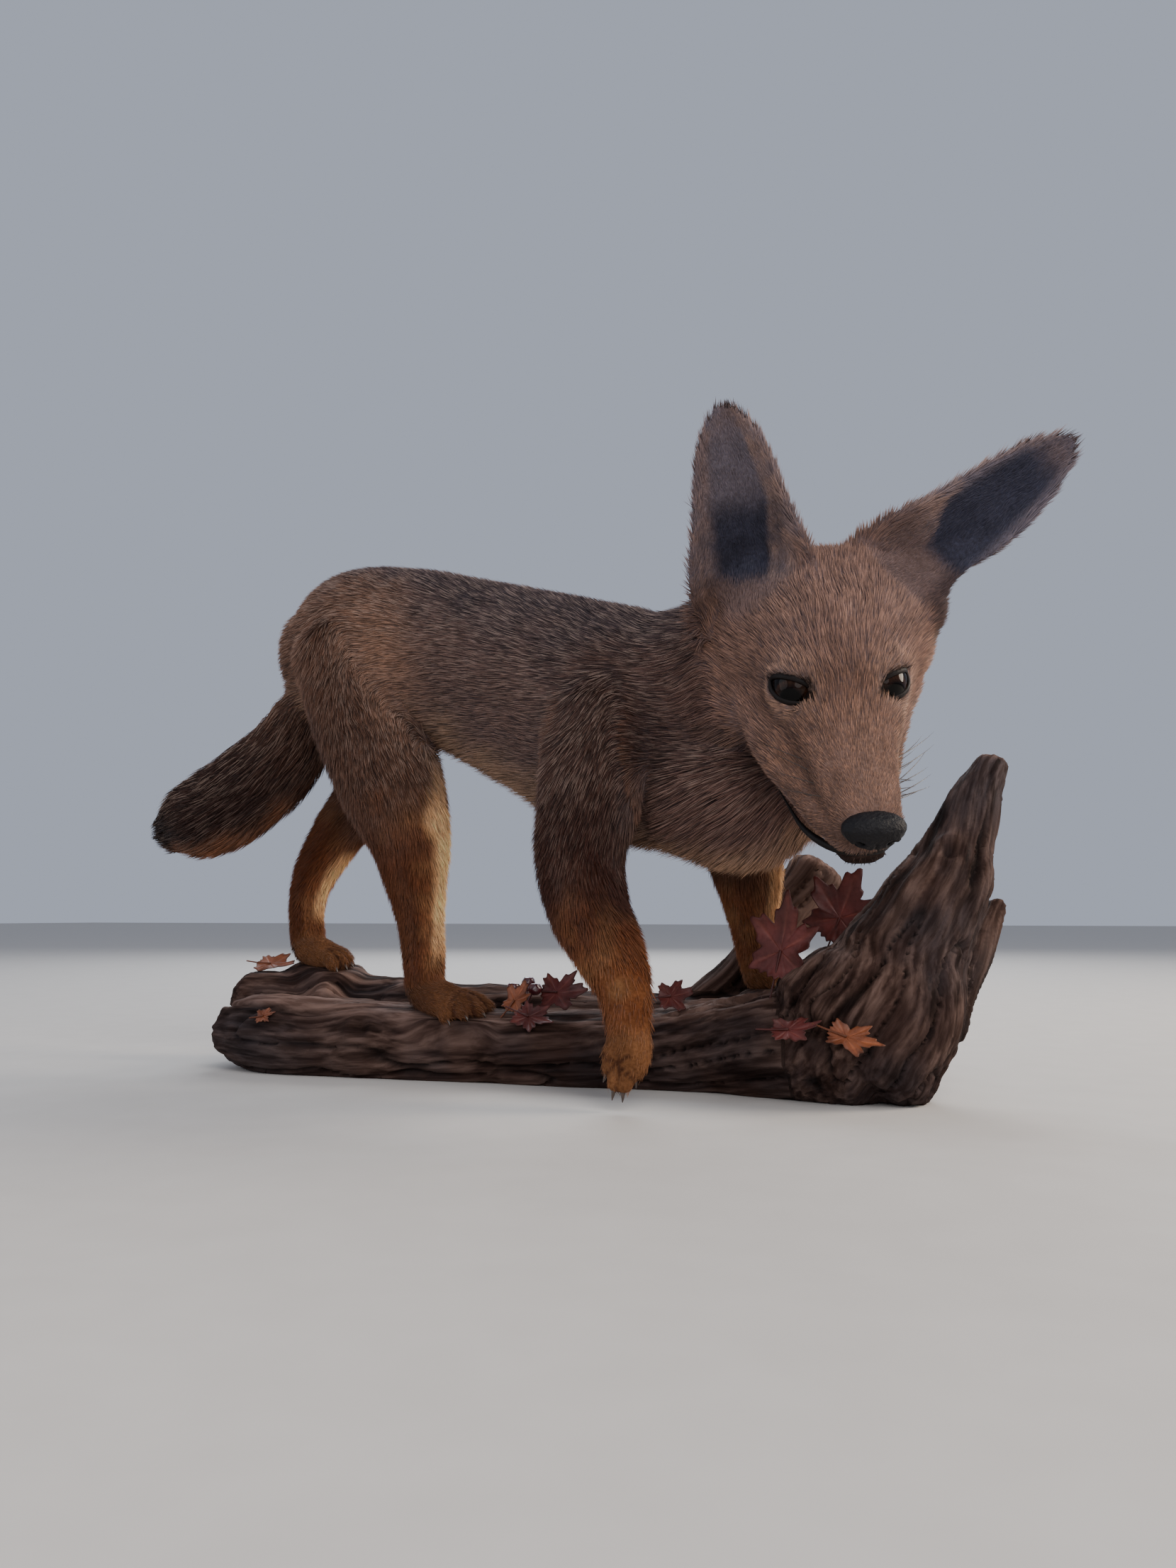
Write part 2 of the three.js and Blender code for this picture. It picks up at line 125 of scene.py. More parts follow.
def rotation(turn, drop, roll):
    """Degrees about Z, then the new Y, then the new X."""
    a, b, c = np.radians([turn, drop, roll])
    about_z = np.array([[np.cos(a), -np.sin(a), 0], [np.sin(a), np.cos(a), 0], [0, 0, 1]])
    about_y = np.array([[np.cos(b), 0, np.sin(b)], [0, 1, 0], [-np.sin(b), 0, np.cos(b)]])
    about_x = np.array([[1, 0, 0], [0, np.cos(c), -np.sin(c)], [0, np.sin(c), np.cos(c)]])
    return about_z @ about_y @ about_x


# ---- mesh tools


def mesh_object(name, verts, faces, material, tints=None, smooth=True):
    """A mesh object from places in millimetres. `tints` is one colour for each vertex."""
    mesh = bpy.data.meshes.new(name)
    verts = np.asarray(verts, np.float32) * MM
    if isinstance(faces, list):
        sizes, corners = [len(f) for f in faces], np.concatenate(faces)
    else:
        sizes, corners = np.full(len(faces), faces.shape[1]), faces.ravel()
    mesh.vertices.add(len(verts))
    mesh.vertices.foreach_set("co", verts.ravel())
    mesh.loops.add(len(corners))
    mesh.loops.foreach_set("vertex_index", corners.astype(np.int32))
    mesh.polygons.add(len(sizes))
    mesh.polygons.foreach_set("loop_start", (np.cumsum(sizes) - sizes).astype(np.int32))
    mesh.update(calc_edges=True)
    if tints is not None:
        layer = mesh.color_attributes.new("Tint", "FLOAT_COLOR", "POINT")
        rgba = np.concatenate([np.clip(tints, 0, 1), np.ones((len(verts), 1))], axis=1)
        layer.data.foreach_set("color", rgba.astype(np.float32).ravel())
    mesh.polygons.foreach_set("use_smooth", np.full(len(sizes), smooth))
    if material is not None:
        mesh.materials.append(material)
    made = bpy.data.objects.new(name, mesh)
    bpy.context.scene.collection.objects.link(made)
    return made


def finish_piece(piece, slot, *nodes):
    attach(piece, "root")
    if nodes:
        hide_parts(*nodes)


def joined(shapes):
    """One list of vertices and one of faces from several (vertices, faces) pairs."""
    verts, faces, start = [], [], 0
    for v, f in shapes:
        verts.append(v)
        faces.extend([[i + start for i in face] for face in f])
        start += len(v)
    return np.concatenate(verts), faces


def rings_to_faces(count, sides):
    """Faces of a skin over rings of points, with a single point before the first and after the last."""
    faces = []
    at = lambda ring, k: 1 + ring * sides + k % sides
    for ring in range(count - 1):
        faces += [[at(ring, k), at(ring, k + 1), at(ring + 1, k + 1), at(ring + 1, k)] for k in range(sides)]
    last = 1 + count * sides
    faces += [[0, at(0, k + 1), at(0, k)] for k in range(sides)]
    faces += [[last, at(count - 1, k), at(count - 1, k + 1)] for k in range(sides)]
    return faces


class Form:
    """A rounded body along a smooth line. Rows hold a place, a half width along `side`, and a half depth."""

    def __init__(self, rows, side=LEFT, count=40, inset=0.0, turn=None, at=None):
        line = smooth_rows(rows, count)
        self.centre = line[:, :3]
        side = np.asarray(side, float)
        if turn is not None:
            self.centre = self.centre @ turn.T + at
            side = turn @ side
        self.wide = line[:, 3] - inset
        self.deep = line[:, 4] - inset
        self.tangent = unit(np.gradient(self.centre, axis=0))
        self.across = unit(side - self.tangent * (self.tangent @ side)[:, None])
        self.over = np.cross(self.tangent, self.across)
        steps = length(np.diff(self.centre, axis=0))
        self.along = np.concatenate([[0], np.cumsum(steps)])

    def shape(self, sides=36, bulge=0.8, domes=5, relief=None):
        angle = np.linspace(0, 2 * np.pi, sides, endpoint=False)
        rises = np.sin(np.linspace(np.pi / 2, 0, domes, endpoint=False))[1:]
        last = len(self.centre) - 1
        cap = bulge * np.minimum(self.wide, self.deep)
        rings = [(0, -s * cap[0], np.sqrt(1 - s * s)) for s in rises]
        rings += [(k, 0, 1) for k in range(last + 1)]
        rings += [(last, s * cap[last], np.sqrt(1 - s * s)) for s in rises[::-1]]
        points = [self.centre[:1] - self.tangent[:1] * cap[0]]
        for k, push, shrink in rings:
            size = shrink * (1 if relief is None else relief(k / last, angle))
            a = (self.wide[k] * size * np.cos(angle))[:, None] * self.across[k]
            b = (self.deep[k] * size * np.sin(angle))[:, None] * self.over[k]
            points.append(self.centre[k] + self.tangent[k] * push + a + b)
        points.append(self.centre[last:] + self.tangent[last:] * cap[last])
        return np.concatenate(points), rings_to_faces(len(rings), sides)


def ball(centre, sizes, axes=np.eye(3), rings=20, sides=32):
    """An ellipsoid whose half sizes run along the rows of `axes`."""
    turn = np.linspace(0, 2 * np.pi, sides, endpoint=False)
    points = [[[-1.0, 0, 0]]]
    for t in np.linspace(0, np.pi, rings + 2)[1:-1]:
        along = np.full(sides, -np.cos(t))
        points.append(np.stack([along, np.sin(t) * np.cos(turn), np.sin(t) * np.sin(turn)], axis=1))
    points.append([[1.0, 0, 0]])
    local = np.concatenate(points) * np.asarray(sizes)
    return local @ axes + np.asarray(centre), rings_to_faces(rings, sides)


def remeshed(shapes, voxel):
    """The outer surface of overlapping closed shapes: vertices in millimetres and quads."""
    made = mesh_object("union", *joined(shapes), None)
    modifier = made.modifiers.new("Union", "REMESH")
    modifier.mode = "VOXEL"
    modifier.voxel_size = voxel * MM
    graph = bpy.context.evaluated_depsgraph_get()
    result = made.evaluated_get(graph).to_mesh()
    co = np.empty(len(result.vertices) * 3, np.float32)
    result.vertices.foreach_get("co", co)
    quads = np.empty(len(result.polygons) * 4, np.int32)
    result.loops.foreach_get("vertex_index", quads)
    made.evaluated_get(graph).to_mesh_clear()
    bpy.data.objects.remove(made)
    return co.reshape(-1, 3).astype(float) / MM, quads.reshape(-1, 4)


def neighbour_means(quads, size):
    """A function that gives the mean of each vertex's neighbours."""
    a, b = quads.ravel(), np.roll(quads, -1, axis=1).ravel()
    one, two = np.concatenate([a, b]), np.concatenate([b, a])
    count = np.bincount(one, minlength=size)[:, None]
    return lambda v: np.stack([np.bincount(one, v[two, c], size) for c in range(3)], axis=1) / count


def relaxed(verts, quads, rounds, hold=0.0, back=1.04):
    """Smooths with little shrinking. `hold` is how far a vertex keeps its place, `back` undoes the shrink."""
    mean = neighbour_means(quads, len(verts))
    free = (1 - hold * np.ones(len(verts)))[:, None]
    for step in (0.5, -0.5 * back) * rounds:
        verts = verts + step * free * (mean(verts) - verts)
    return verts


def filled(verts, quads, rounds, share):
    """Fills creases the way a skin spans them: only hollow places move, and only outward."""
    mean = neighbour_means(quads, len(verts))
    for k in range(rounds):
        if k % 10 == 0:
            normal = normals_of(verts, quads)
        rise = np.maximum(dots(mean(verts) - verts, normal), 0)
        verts = verts + normal * (0.8 * share * rise)[:, None]
    return verts


def normals_of(verts, quads):
    face = np.cross(verts[quads[:, 2]] - verts[quads[:, 0]], verts[quads[:, 3]] - verts[quads[:, 1]])
    total = np.zeros_like(verts)
    for k, c in np.ndindex(4, 3):
        total[:, c] += np.bincount(quads[:, k], face[:, c], len(verts))
    return unit(total)


def gaps_to(place, reach, p):
    """Parts of p, each with its distances to the places, counted in their own reaches."""
    for start in range(0, len(p), PLACES_AT_A_TIME):
        part = slice(start, start + PLACES_AT_A_TIME)
        yield part, length(p[part, None] - place[None]) / reach


# ---- the animal's forms

# Rows are x, y, z, half width, half depth, out to the tips of the coat, and `inset` is the coat's depth.
TRUNK = [
    [-190, 22, 246, 26, 34], [-162, 18, 249, 38, 48], [-120, 10, 242, 41, 51], [-70, 2, 228, 41, 51],
    [-20, -7, 208, 43, 56], [30, -18, 186, 44, 61], [72, -28, 172, 34, 56],
]
NECK = [[35, -16, 200, 35, 44], [75, -29, 195, 34, 51], [112, -44, 202, 34, 47], [136, -53, 213, 32, 38]]
RUFF = [[74, -34, 152, 31, 40], [100, -41, 143, 30, 36], [124, -46, 146, 24, 25]]
TAIL = [
    [-176, 22, 268, 12, 15], [-192, 23, 223, 17, 22], [-208, 23, 191, 20, 27], [-234, 20, 167, 23, 29],
    [-258, 16, 152, 23, 28.5], [-274, 13, 146, 20, 25], [-284, 11, 141, 14, 18],
]
LEGS = {
    "hind_right": [
        [-150, -6, 246, 24, 36], [-129, -13, 198, 25, 34], [-109, -18, 156, 21, 31], [-100, -16, 130, 17, 25],
        [-97, -13, 106, 14, 19], [-95, -11, 86, 12.5, 14.5], [-92, -12, 66, 12, 13], [-90, -14, 50, 12, 12],
    ],
    "hind_left": [
        [-160, 40, 240, 24, 36], [-153, 48, 198, 22, 31], [-168, 50, 164, 18, 22], [-188, 50, 140, 15, 18],
        [-204, 47, 112, 13, 14.5], [-207, 44, 92, 12, 12], [-202, 39, 70, 12, 11.5],
    ],
    "front_right": [
        [30, -46, 190, 19, 36], [24, -56, 150, 19, 28], [17, -54, 116, 17, 23.5], [23, -57, 90, 16, 21],
        [35, -63, 71, 14.5, 18], [45, -69, 52, 13, 14.5], [49, -74, 32, 12.5, 11.5],
    ],
    "front_left": [
        [66, 8, 176, 18, 32], [77, 18, 138, 17, 25], [81, 24, 108, 16, 19], [82, 30, 84, 13, 13.5],
        [85, 32, 58, 12, 11],
    ],
}

# A foot runs from its ankle to the foremost points of its four toes.
FEET = {
    "hind_right": dict(
        ankle=[-89, -14, 46], tips=[[-70, -26, 34], [-61, -25, 36], [-55, -18, 37], [-54, -9, 38]],
    ),
    "hind_left": dict(
        ankle=[-200, 38, 67], tips=[[-173, 24, 57], [-171, 30, 58], [-172, 37, 59], [-176, 44, 60]],
    ),
    "front_right": dict(
        ankle=[49, -74, 30], tips=[[40, -76, 18], [44, -79, 11.5], [48, -79, 11], [52, -76, 17]],
    ),
    "front_left": dict(
        ankle=[85, 32, 58], tips=[[94, 22, 53], [98, 28, 53], [99, 35, 53], [98, 42, 53]],
    ),
}
# The pad of a foot: the share of the way to the toes, the half width and the half depth.
PAD = [(0, 11.5, 11), (0.45, 12.5, 9), (0.8, 11, 6.5)]
TOE = 4.9
TOE_INSET = 0.6
CLAW = dict(long=4.6, thick=1.35, drop=2.4)

# The head has its own axes: x to the nose, y to its left, z up, from midway between the eyes.
HEAD_AT = np.array([149.0, -83.0, 190.0])
HEAD_TURN = rotation(-68.6, 48, 4)
SKULL = [
    [-66, 0, -12, 34, 28], [-54, 0, -11, 46, 40], [-40, 0, -9.3, 50, 44.7], [-27, 0, -7.2, 45.5, 41.8],
    [-12, 0, -7, 36, 38], [3, 0, -9, 30, 29.5], [18, -0.5, -13, 26.5, 21], [36, -1, -14, 21.5, 16],
    [56, -1, -14.5, 18.5, 12.5], [77, 0, -15.5, 15, 10],
]
LIPS = [
    [-28, -2, -26, 46, 27], [-10, -4, -26.5, 40, 22.5], [13, -5.5, -27, 34.5, 17.5], [32, -5, -27, 29, 14],
    [44, -4.5, -26.5, 25, 12.5], [60, -3.5, -25, 20.5, 11], [75, -1.2, -22.5, 15.5, 10],
]
JAW = [[-8, -2, -43, 26, 13], [24, -2.5, -41, 21, 10], [50, -2, -38, 17, 8.5], [74, -0.5, -35, 12, 6.5]]
MUZZLE_TIP = np.array([86.0, 0, -13])
NOSE_AT = np.array([81.8, 0.4, -14.2])
NOSE_SIZES = np.array([7.4, 12.8, 7.6])
EYE_RADIUS = 11.6
EYES = {1: np.array([3.0, 16.3, -3.3]), -1: np.array([3.0, -18.7, -2.9])}
GAZES = {side: unit(np.array([0.76, side * 0.44, 0.475])) for side in (1, -1)}
LID_TILT = 0.08
LID_REACH = 1.20
LID_TOP = 0.45
LID_BOTTOM = 0.48

# An ear's root, its aim and the way it opens, in the head's axes, its length and half width, and how far its
# outer edge is drawn in near the root. `furred` is the furred band's width and how much it widens upward, the
# share of the length where the hollow starts, and the share where it ends, which also bounds the pale rim.
EARS = {
    "right": dict(
        root=[-36, -33, 14], aim=[-0.42, -0.14, 0.9], face=[0.82, -0.35, 0.36], long=87, broad=25.5,
        furred=[0.26, 0.28, 0.12, 0.60], notch=0,
    ),
    "left": dict(
        root=[-37, 25, 17], aim=[-0.35, 0.81, 0.49], face=[0.75, -0.05, 0.6], long=102, broad=22,
        furred=[0.30, 0.62, 0.28, 1.10], notch=0.36,
    ),
}
NOTCH_AT = 0.27
NOTCH_WIDE = 0.17
EAR_LOBE = [-42, 43, 4]
NAPE = [([147, -40, 214], [31, 27, 33]), ([144, -40, 192], [27, 25, 28])]
SKIN_VOXEL = 1.84

# Where the skin spans a hollow between two forms: the middle, the reach, and how far the hollow is filled.
JUNCTIONS = [
    ([135, -14, 212], 85, 1.0), ([-180, 22, 258], 50, 0.8),
    (LEGS["hind_left"][0][:3], 75, 1.0), (LEGS["front_left"][0][:3], 70, 1.0),
    (LEGS["hind_right"][0][:3], 70, 0.6), (LEGS["front_right"][0][:3], 62, 0.6),
]

# For each group of forms: how deep the coat is, how long and wide its tufts are, how far they stand up in
# degrees, how many grow on a square millimetre, and whether they run along the form or back along it.
COAT = {
    "trunk": dict(inset=3.6, long=7.2, wide=0.74, lift=16, dense=1.15, flow=-1),
    "neck": dict(inset=4, long=9.5, wide=0.80, lift=17, dense=1.1, flow=-1),
    "ruff": dict(inset=5, long=12, wide=0.80, lift=22, dense=1.1, flow=-1),
    "tail": dict(inset=6, long=16, wide=0.75, lift=22, dense=1.15, flow=1),
    "leg": dict(inset=2.0, long=7.2, wide=0.68, lift=18, dense=1.4, flow=1),
    "foot": dict(inset=1.0, long=3.4, wide=0.42, lift=13, dense=1.8, flow=1),
    "head": dict(inset=2.0, long=6.0, wide=0.64, lift=15, dense=1.6, flow=-1),
    "ear": dict(inset=1.5, long=5.0, wide=0.60, lift=16, dense=1.5, flow=1),
}
GROUPS = list(COAT)


def to_head(p):
    return (p - HEAD_AT) @ HEAD_TURN


def from_head(p):
    return np.asarray(p, float) @ HEAD_TURN.T + HEAD_AT


class Ear:
    """A cupped leaf that runs from its root along its aim and opens towards its face."""

    def __init__(self, root, aim, face, long, broad, furred, notch):
        self.root = from_head(root)
        self.furred = furred
        self.notch = notch
        self.along = HEAD_TURN @ unit(np.asarray(aim, float))
        face = HEAD_TURN @ np.asarray(face, float)
        self.open = unit(face - self.along * (face @ self.along))
        self.across = np.cross(self.along, self.open)
        self.long = long
        self.broad = broad
        self.lateral = np.sign(np.dot(self.across, HEAD_TURN @ np.array([0, root[1], 0])))

    def half(self, t):
        flare = 1 + 0.18 * np.maximum(0, 1 - np.maximum(t, 0) / 0.45)
        return self.broad * flare * (1 - np.clip(t, 0, 1) ** 2.2) ** 0.6

    def curl(self, t):
        return 1.2 - 0.65 * t

    def local(self, p):
        """Share of the length, offset across and offset towards the opening."""
        q = p - self.root
        return (q @ self.along) / self.long, q @ self.across, q @ self.open

    def shape(self, rows=44, columns=22, thick=3.6):
        rings = []
        across = np.linspace(-1, 1, columns)
        edge = np.abs(across)
        for t in np.linspace(-0.16, 0.985, rows):
            curl = self.curl(t)
            angle = curl * across
            radius = self.half(t) / np.sin(curl)
            skin = thick / 2 * (1 - 0.35 * edge**2) * (1.15 - 0.4 * t)
            fold = 0.9 * np.sin(9 * t) * edge**3
            middle = self.root + self.along * self.long * t
            notch = self.notch * np.exp(-(((t - NOTCH_AT) / NOTCH_WIDE) ** 2))
            sines = (np.sin(angle) * (1 - notch * (np.sin(angle) * self.lateral > 0)))[:, None]
            sheets = []
            for r in (radius + skin + fold)[:, None], (radius - skin + fold)[:, None]:
                rise = radius * np.cos(curl) - r * np.cos(angle)[:, None]
                sheets.append(middle + self.across * r * sines + self.open * rise)
            rings.append(np.concatenate([sheets[0][::-1], sheets[1]]))
        top = rings[-1].mean(axis=0) + self.along * 1.5
        points = np.concatenate([[rings[0].mean(axis=0)], *rings, [top]])
        return points, rings_to_faces(rows, 2 * columns)


def foot_forms(ankle, tips):
    """The pad of a foot and its four toes."""
    start, tips = np.array(ankle, float), np.array(tips, float)
    side = unit(tips[3] - tips[0])
    middle = tips.mean(axis=0)
    pad = [[*(start + (middle - start) * share), wide, deep] for share, wide, deep in PAD]
    forms = [Form(pad, side, 12, COAT["foot"]["inset"])]
    for tip in tips:
        knuckle = start + (tip - start) * 0.5 + UP * 2.5
        joint = knuckle * 0.35 + tip * 0.65 + UP * 1.2
        rows = [[*knuckle, TOE, TOE], [*joint, TOE, TOE], [*tip, TOE * 0.95, TOE * 0.85]]
        forms.append(Form(rows, side, 8, TOE_INSET))
    return forms


BODY = [("trunk", TRUNK, 60), ("neck", NECK, 26), ("ruff", RUFF, 16), ("tail", TAIL, 40)]
BODY += [("leg", rows, 40) for rows in LEGS.values()]
FORMS = [(group, Form(rows, count=count, inset=COAT[group]["inset"])) for group, rows, count in BODY]
for foot in FEET.values():
    FORMS += [("foot", form) for form in foot_forms(**foot)]
for rows in (SKULL, LIPS, JAW):
    FORMS.append(("head", Form(rows, inset=COAT["head"]["inset"], turn=HEAD_TURN, at=HEAD_AT)))
FORM_GROUPS = [group for group, _ in FORMS]
TAIL_NUMBER = FORM_GROUPS.index("tail")
LEG_NUMBER = {name: FORM_GROUPS.index("leg") + k for k, name in enumerate(LEGS)}
EAR_SHELLS = [Ear(**spec) for spec in EARS.values()]

# Swellings and hollows of the skull: the share of its length, the spread, the turn in degrees, and the rise.
FACE_SWELLS = ((0.27, 0.14, -28, 0.03), (0.62, 0.07, 35, -0.03), (0.50, 0.05, -25, 0.03))


def face_relief(t, angle):
    """Hollows in front of the eyes, and cheekbones behind them."""
    swell = 0
    for along, spread, turn, rise in FACE_SWELLS:
        near = np.exp(-(((t - along) / spread) ** 2))
        right = np.clip(np.cos(angle - np.radians(turn)), 0, 1) ** 5
        left = np.clip(np.cos(angle - np.pi + np.radians(turn)), 0, 1) ** 5
        swell = swell + rise * near * (right + left)
    return 1 + swell


def head_axes(*rows):
    return np.array([unit(HEAD_TURN @ np.asarray(row, float)) for row in rows])


def head_details():
    """Lids, brows, cheekbones, whisker pads, nape and the ears' roots, as shapes to join to the skull."""
    shapes = []
    for side in (1, -1):
        brow = head_axes([0.35, side * 0.9, -0.2], [0.9, -side * 0.35, 0.2], [0, 0.2, 1])
        cheek = head_axes([1, -side * 0.42, -0.1], [0.42, side, 0], [0, 0, 1])
        pad = head_axes([1, -side * 0.12, 0], [0, side, 0], [0, 0, 1])
        shapes.append(ball(from_head(EYES[side]), [EYE_RADIUS + 1.3] * 3))
        shapes.append(ball(from_head([1, side * 15.5, 9.5]), [11, 7, 5.0], brow))
        shapes.append(ball(from_head([-9, side * 25.5, -13]), [21, 7.5, 9], cheek))
        shapes.append(ball(from_head([61, side * 7.5, -18]), [15, 7.6, 7.6], pad))
    shapes.append(ball(from_head(EAR_LOBE), [13, 9, 16], HEAD_TURN.T))
    shapes += [ball(centre, sizes) for centre, sizes in NAPE]
    for ear in EAR_SHELLS:
        axes = np.array([ear.along, ear.across, ear.open])
        shapes.append(ball(ear.root - ear.open * 11 - ear.along * 2, [20, 17, 9], axes))
    return shapes


def lid_axes(side):
    """The gaze, the way from the inner to the outer corner, and the way to the upper lid."""
    gaze = GAZES[side]
    outward = unit(np.cross([0, 0, 1.0], gaze)) * side
    above = unit(np.cross(gaze, outward)) * side
    return gaze, unit(outward + LID_TILT * above), unit(above - LID_TILT * outward)


def lid_edges(a):
    """Upper and lower edge of the opening, in radians, at an angle from the inner corner (-) to the outer."""
    share = a / LID_REACH
    reach = np.clip(1 - np.abs(share) ** 2.0, 0, 1) ** 0.75
    return (LID_TOP - 0.08 * share) * reach, -(LID_BOTTOM + 0.06 * share) * reach


def almond(p, side):
    """How far a point near an eyeball is inside the opening of its lids: above 0 inside, in millimetres."""
    q = to_head(p) - EYES[side]
    gaze, outward, above = lid_axes(side)
    d = unit(q)
    a = np.arctan2(d @ outward, d @ gaze)
    b = np.arcsin(np.clip(d @ above, -1, 1))
    top, bottom = lid_edges(a)
    inside = (np.minimum(top - b, b - bottom) - np.maximum(np.abs(a) - LID_REACH, 0)) * EYE_RADIUS
    far = np.maximum(length(q) - EYE_RADIUS - 3, 0)
    return np.where(d @ gaze < 0, -9.0, inside - far)


def thin_places(verts):
    """How far each place keeps its form when the skin is smoothed: the ears' free parts, and the toes."""
    thin = np.zeros(len(verts))
    for ear in EAR_SHELLS:
        t, a, _ = ear.local(verts)
        thin = np.maximum(thin, ramp(t, 0.12, 0.3) * (np.abs(a) < 40))
    for foot in FEET.values():
        for tip in foot["tips"]:
            thin = np.maximum(thin, 0.8 * blob(verts, tip, [9, 9, 9]))
    return thin


def with_lids(verts):
    """The skin drawn over each eyeball, and sunk below its surface inside the opening of the lids."""
    for side, eye in EYES.items():
        centre = from_head(eye)
        out = verts - centre
        far = length(out)
        inside = almond(verts, side)
        share = ramp(inside, -0.5, 0.9)
        lid = np.maximum(far, EYE_RADIUS + 0.9)
        sunk = EYE_RADIUS - 3.0
        wanted = np.where(inside > -4, lid * (1 - share) + sunk * share, far)
        near = far < EYE_RADIUS + 5
        verts = np.where(near[:, None], centre + unit(out) * wanted[:, None], verts)
    return verts


def build_skin():
    """One closed skin for all the flesh: vertices in millimetres and quads."""
    shapes = []
    for group, form in FORMS:
        shapes.append(form.shape(48 if group in ("trunk", "neck", "ruff", "head") else 28))
    skull = FORM_GROUPS.index("head")
    shapes[skull] = FORMS[skull][1].shape(56, bulge=0.55, relief=face_relief)
    shapes += head_details() + [ear.shape() for ear in EAR_SHELLS]
    verts, quads = remeshed(shapes, SKIN_VOXEL)
    thin = thin_places(verts)
    verts = relaxed(verts, quads, 9, hold=0.85 * thin)
    bases = np.zeros(len(verts))
    for ear in EAR_SHELLS:
        gap = length(verts - ear.root - ear.along * 2)
        bases = np.maximum(bases, ramp(gap, 36, 26) * (1 - thin))
    verts = relaxed(verts, quads, 25, hold=1 - 0.9 * bases)
    verts = relaxed(verts, quads, 7, hold=1 - on_head(verts) * (1 - thin), back=0.4)
    spanned = np.zeros(len(verts))
    for place, reach, share in JUNCTIONS:
        gap = length(verts - place)
        spanned = np.maximum(spanned, share * ramp(gap, reach, reach * 0.6))
    spanned *= (1 - thin) * ramp(to_head(verts)[:, 0], -25, -45)
    return with_lids(filled(verts, quads, 130, spanned)), quads


# ---- reading the forms


def on_head(p):
    """1 on the surface of the head's own forms, from the muzzle back to the cheeks, and 0 away from it."""
    h = to_head(p)
    nearest = np.full(len(p), 9.0)
    for rows in (SKULL, LIPS, JAW):
        line = smooth_rows(rows, 60)
        middle_y, middle_z, wide, deep = [np.interp(h[:, 0], line[:, 0], line[:, k]) for k in (1, 2, 3, 4)]
        ratio = np.hypot((h[:, 1] - middle_y) / wide, (h[:, 2] - middle_z) / deep)
        nearest = np.minimum(nearest, np.where(h[:, 0] < line[0, 0] - 3, 9.0, ratio))
    return ramp(nearest, 1.16, 1.05) * ramp(h[:, 0], -62, -48)


class Guides:
    """Sample points along the forms, which tell any place what it belongs to and which way it lies."""

    def __init__(self):
        points = []
        for number, (group, form) in enumerate(FORMS):
            last = len(form.centre) - 1
            for k in range(0, last + 1, 2 if last >= 20 else 1):
                points.append((
                    number, GROUPS.index(group), k / last, form.centre[k], (form.wide[k] + form.deep[k]) / 2,
                    form.tangent[k] * COAT[group]["flow"], form.tangent[k] / form.along[-1],
                    [form.across[k], form.over[k]],
                ))
        for number, ear in enumerate(EAR_SHELLS, len(FORMS)):
            for t in np.linspace(0.12, 0.95, 12):
                place = ear.root + ear.along * ear.long * t - ear.open * 3
                points.append((
                    number, GROUPS.index("ear"), t, place, max(ear.half(t) * 0.8, 6),
                    ear.along, ear.along / ear.long, [ear.across, ear.open],
                ))
        columns = [np.array(column) for column in zip(*points)]
        self.form, self.group, self.share, self.place, self.reach, self.flow, self.along, self.axes = columns

    def read(self, p):
        """For each place: the groups' weights, the coat's lie, the nearest form, and where it is on it."""
        weights = np.zeros((len(p), len(GROUPS)))
        flow = np.zeros((len(p), 3))
        nearest = np.zeros(len(p), int)
        for part, gap in gaps_to(self.place, self.reach, p):
            w = 1 / gap**9
            w /= w.sum(axis=1, keepdims=True)
            flow[part] = w @ self.flow
            for g in range(len(GROUPS)):
                weights[part, g] = w[:, self.group == g].sum(axis=1)
            nearest[part] = np.argmin(gap, axis=1)
        ears, head = GROUPS.index("ear"), GROUPS.index("head")
        moved = weights * on_head(p)[:, None]
        moved[:, [ears, head]] = 0
        weights -= moved
        weights[:, head] += moved.sum(axis=1)
        off = p - self.place[nearest]
        a = dots(off, self.axes[nearest, 0])
        b = dots(off, self.axes[nearest, 1])
        share = self.share[nearest] + dots(off, self.along[nearest])
        return dict(
            weight={name: weights[:, g] for g, name in enumerate(GROUPS)},
            flow=flow, form=self.form[nearest], share=share, angle=np.arctan2(b, a),
        )


GUIDES = Guides()


def lie_of_coat(p, normal, read):
    """Unit vectors along the skin, the way the hairs point."""
    weight = read["weight"]
    flow = read["flow"].copy()
    side = normal - UP * normal[:, 2:]
    flow += (weight["trunk"] * 0.30 * (1 - np.abs(normal[:, 2])))[:, None] * -UP
    flow += ((weight["neck"] * 0.25 + weight["ruff"] * 0.9)[:, None]) * -UP
    flow += (weight["ruff"] * 0.25)[:, None] * side
    h = to_head(p)
    from_nose = unit(h - MUZZLE_TIP)
    from_nose[:, 2] += 0.12
    for eye in EYES.values():
        away = h - (eye + np.array([6.0, 0, 0]))
        from_nose += unit(away) * (0.9 * np.exp(-((length(away) - 9) / 6) ** 2))[:, None]
    from_nose[:, 2] -= 0.5 * ramp(h[:, 2], -20, -40)
    flow = blend(flow, from_nose @ HEAD_TURN.T, weight["head"])
    flow += noise_vectors(p, 16, 40) * 0.22 + noise_vectors(p, 5, 50) * 0.16
    return unit(flow - normal * dots(flow, normal)[:, None])
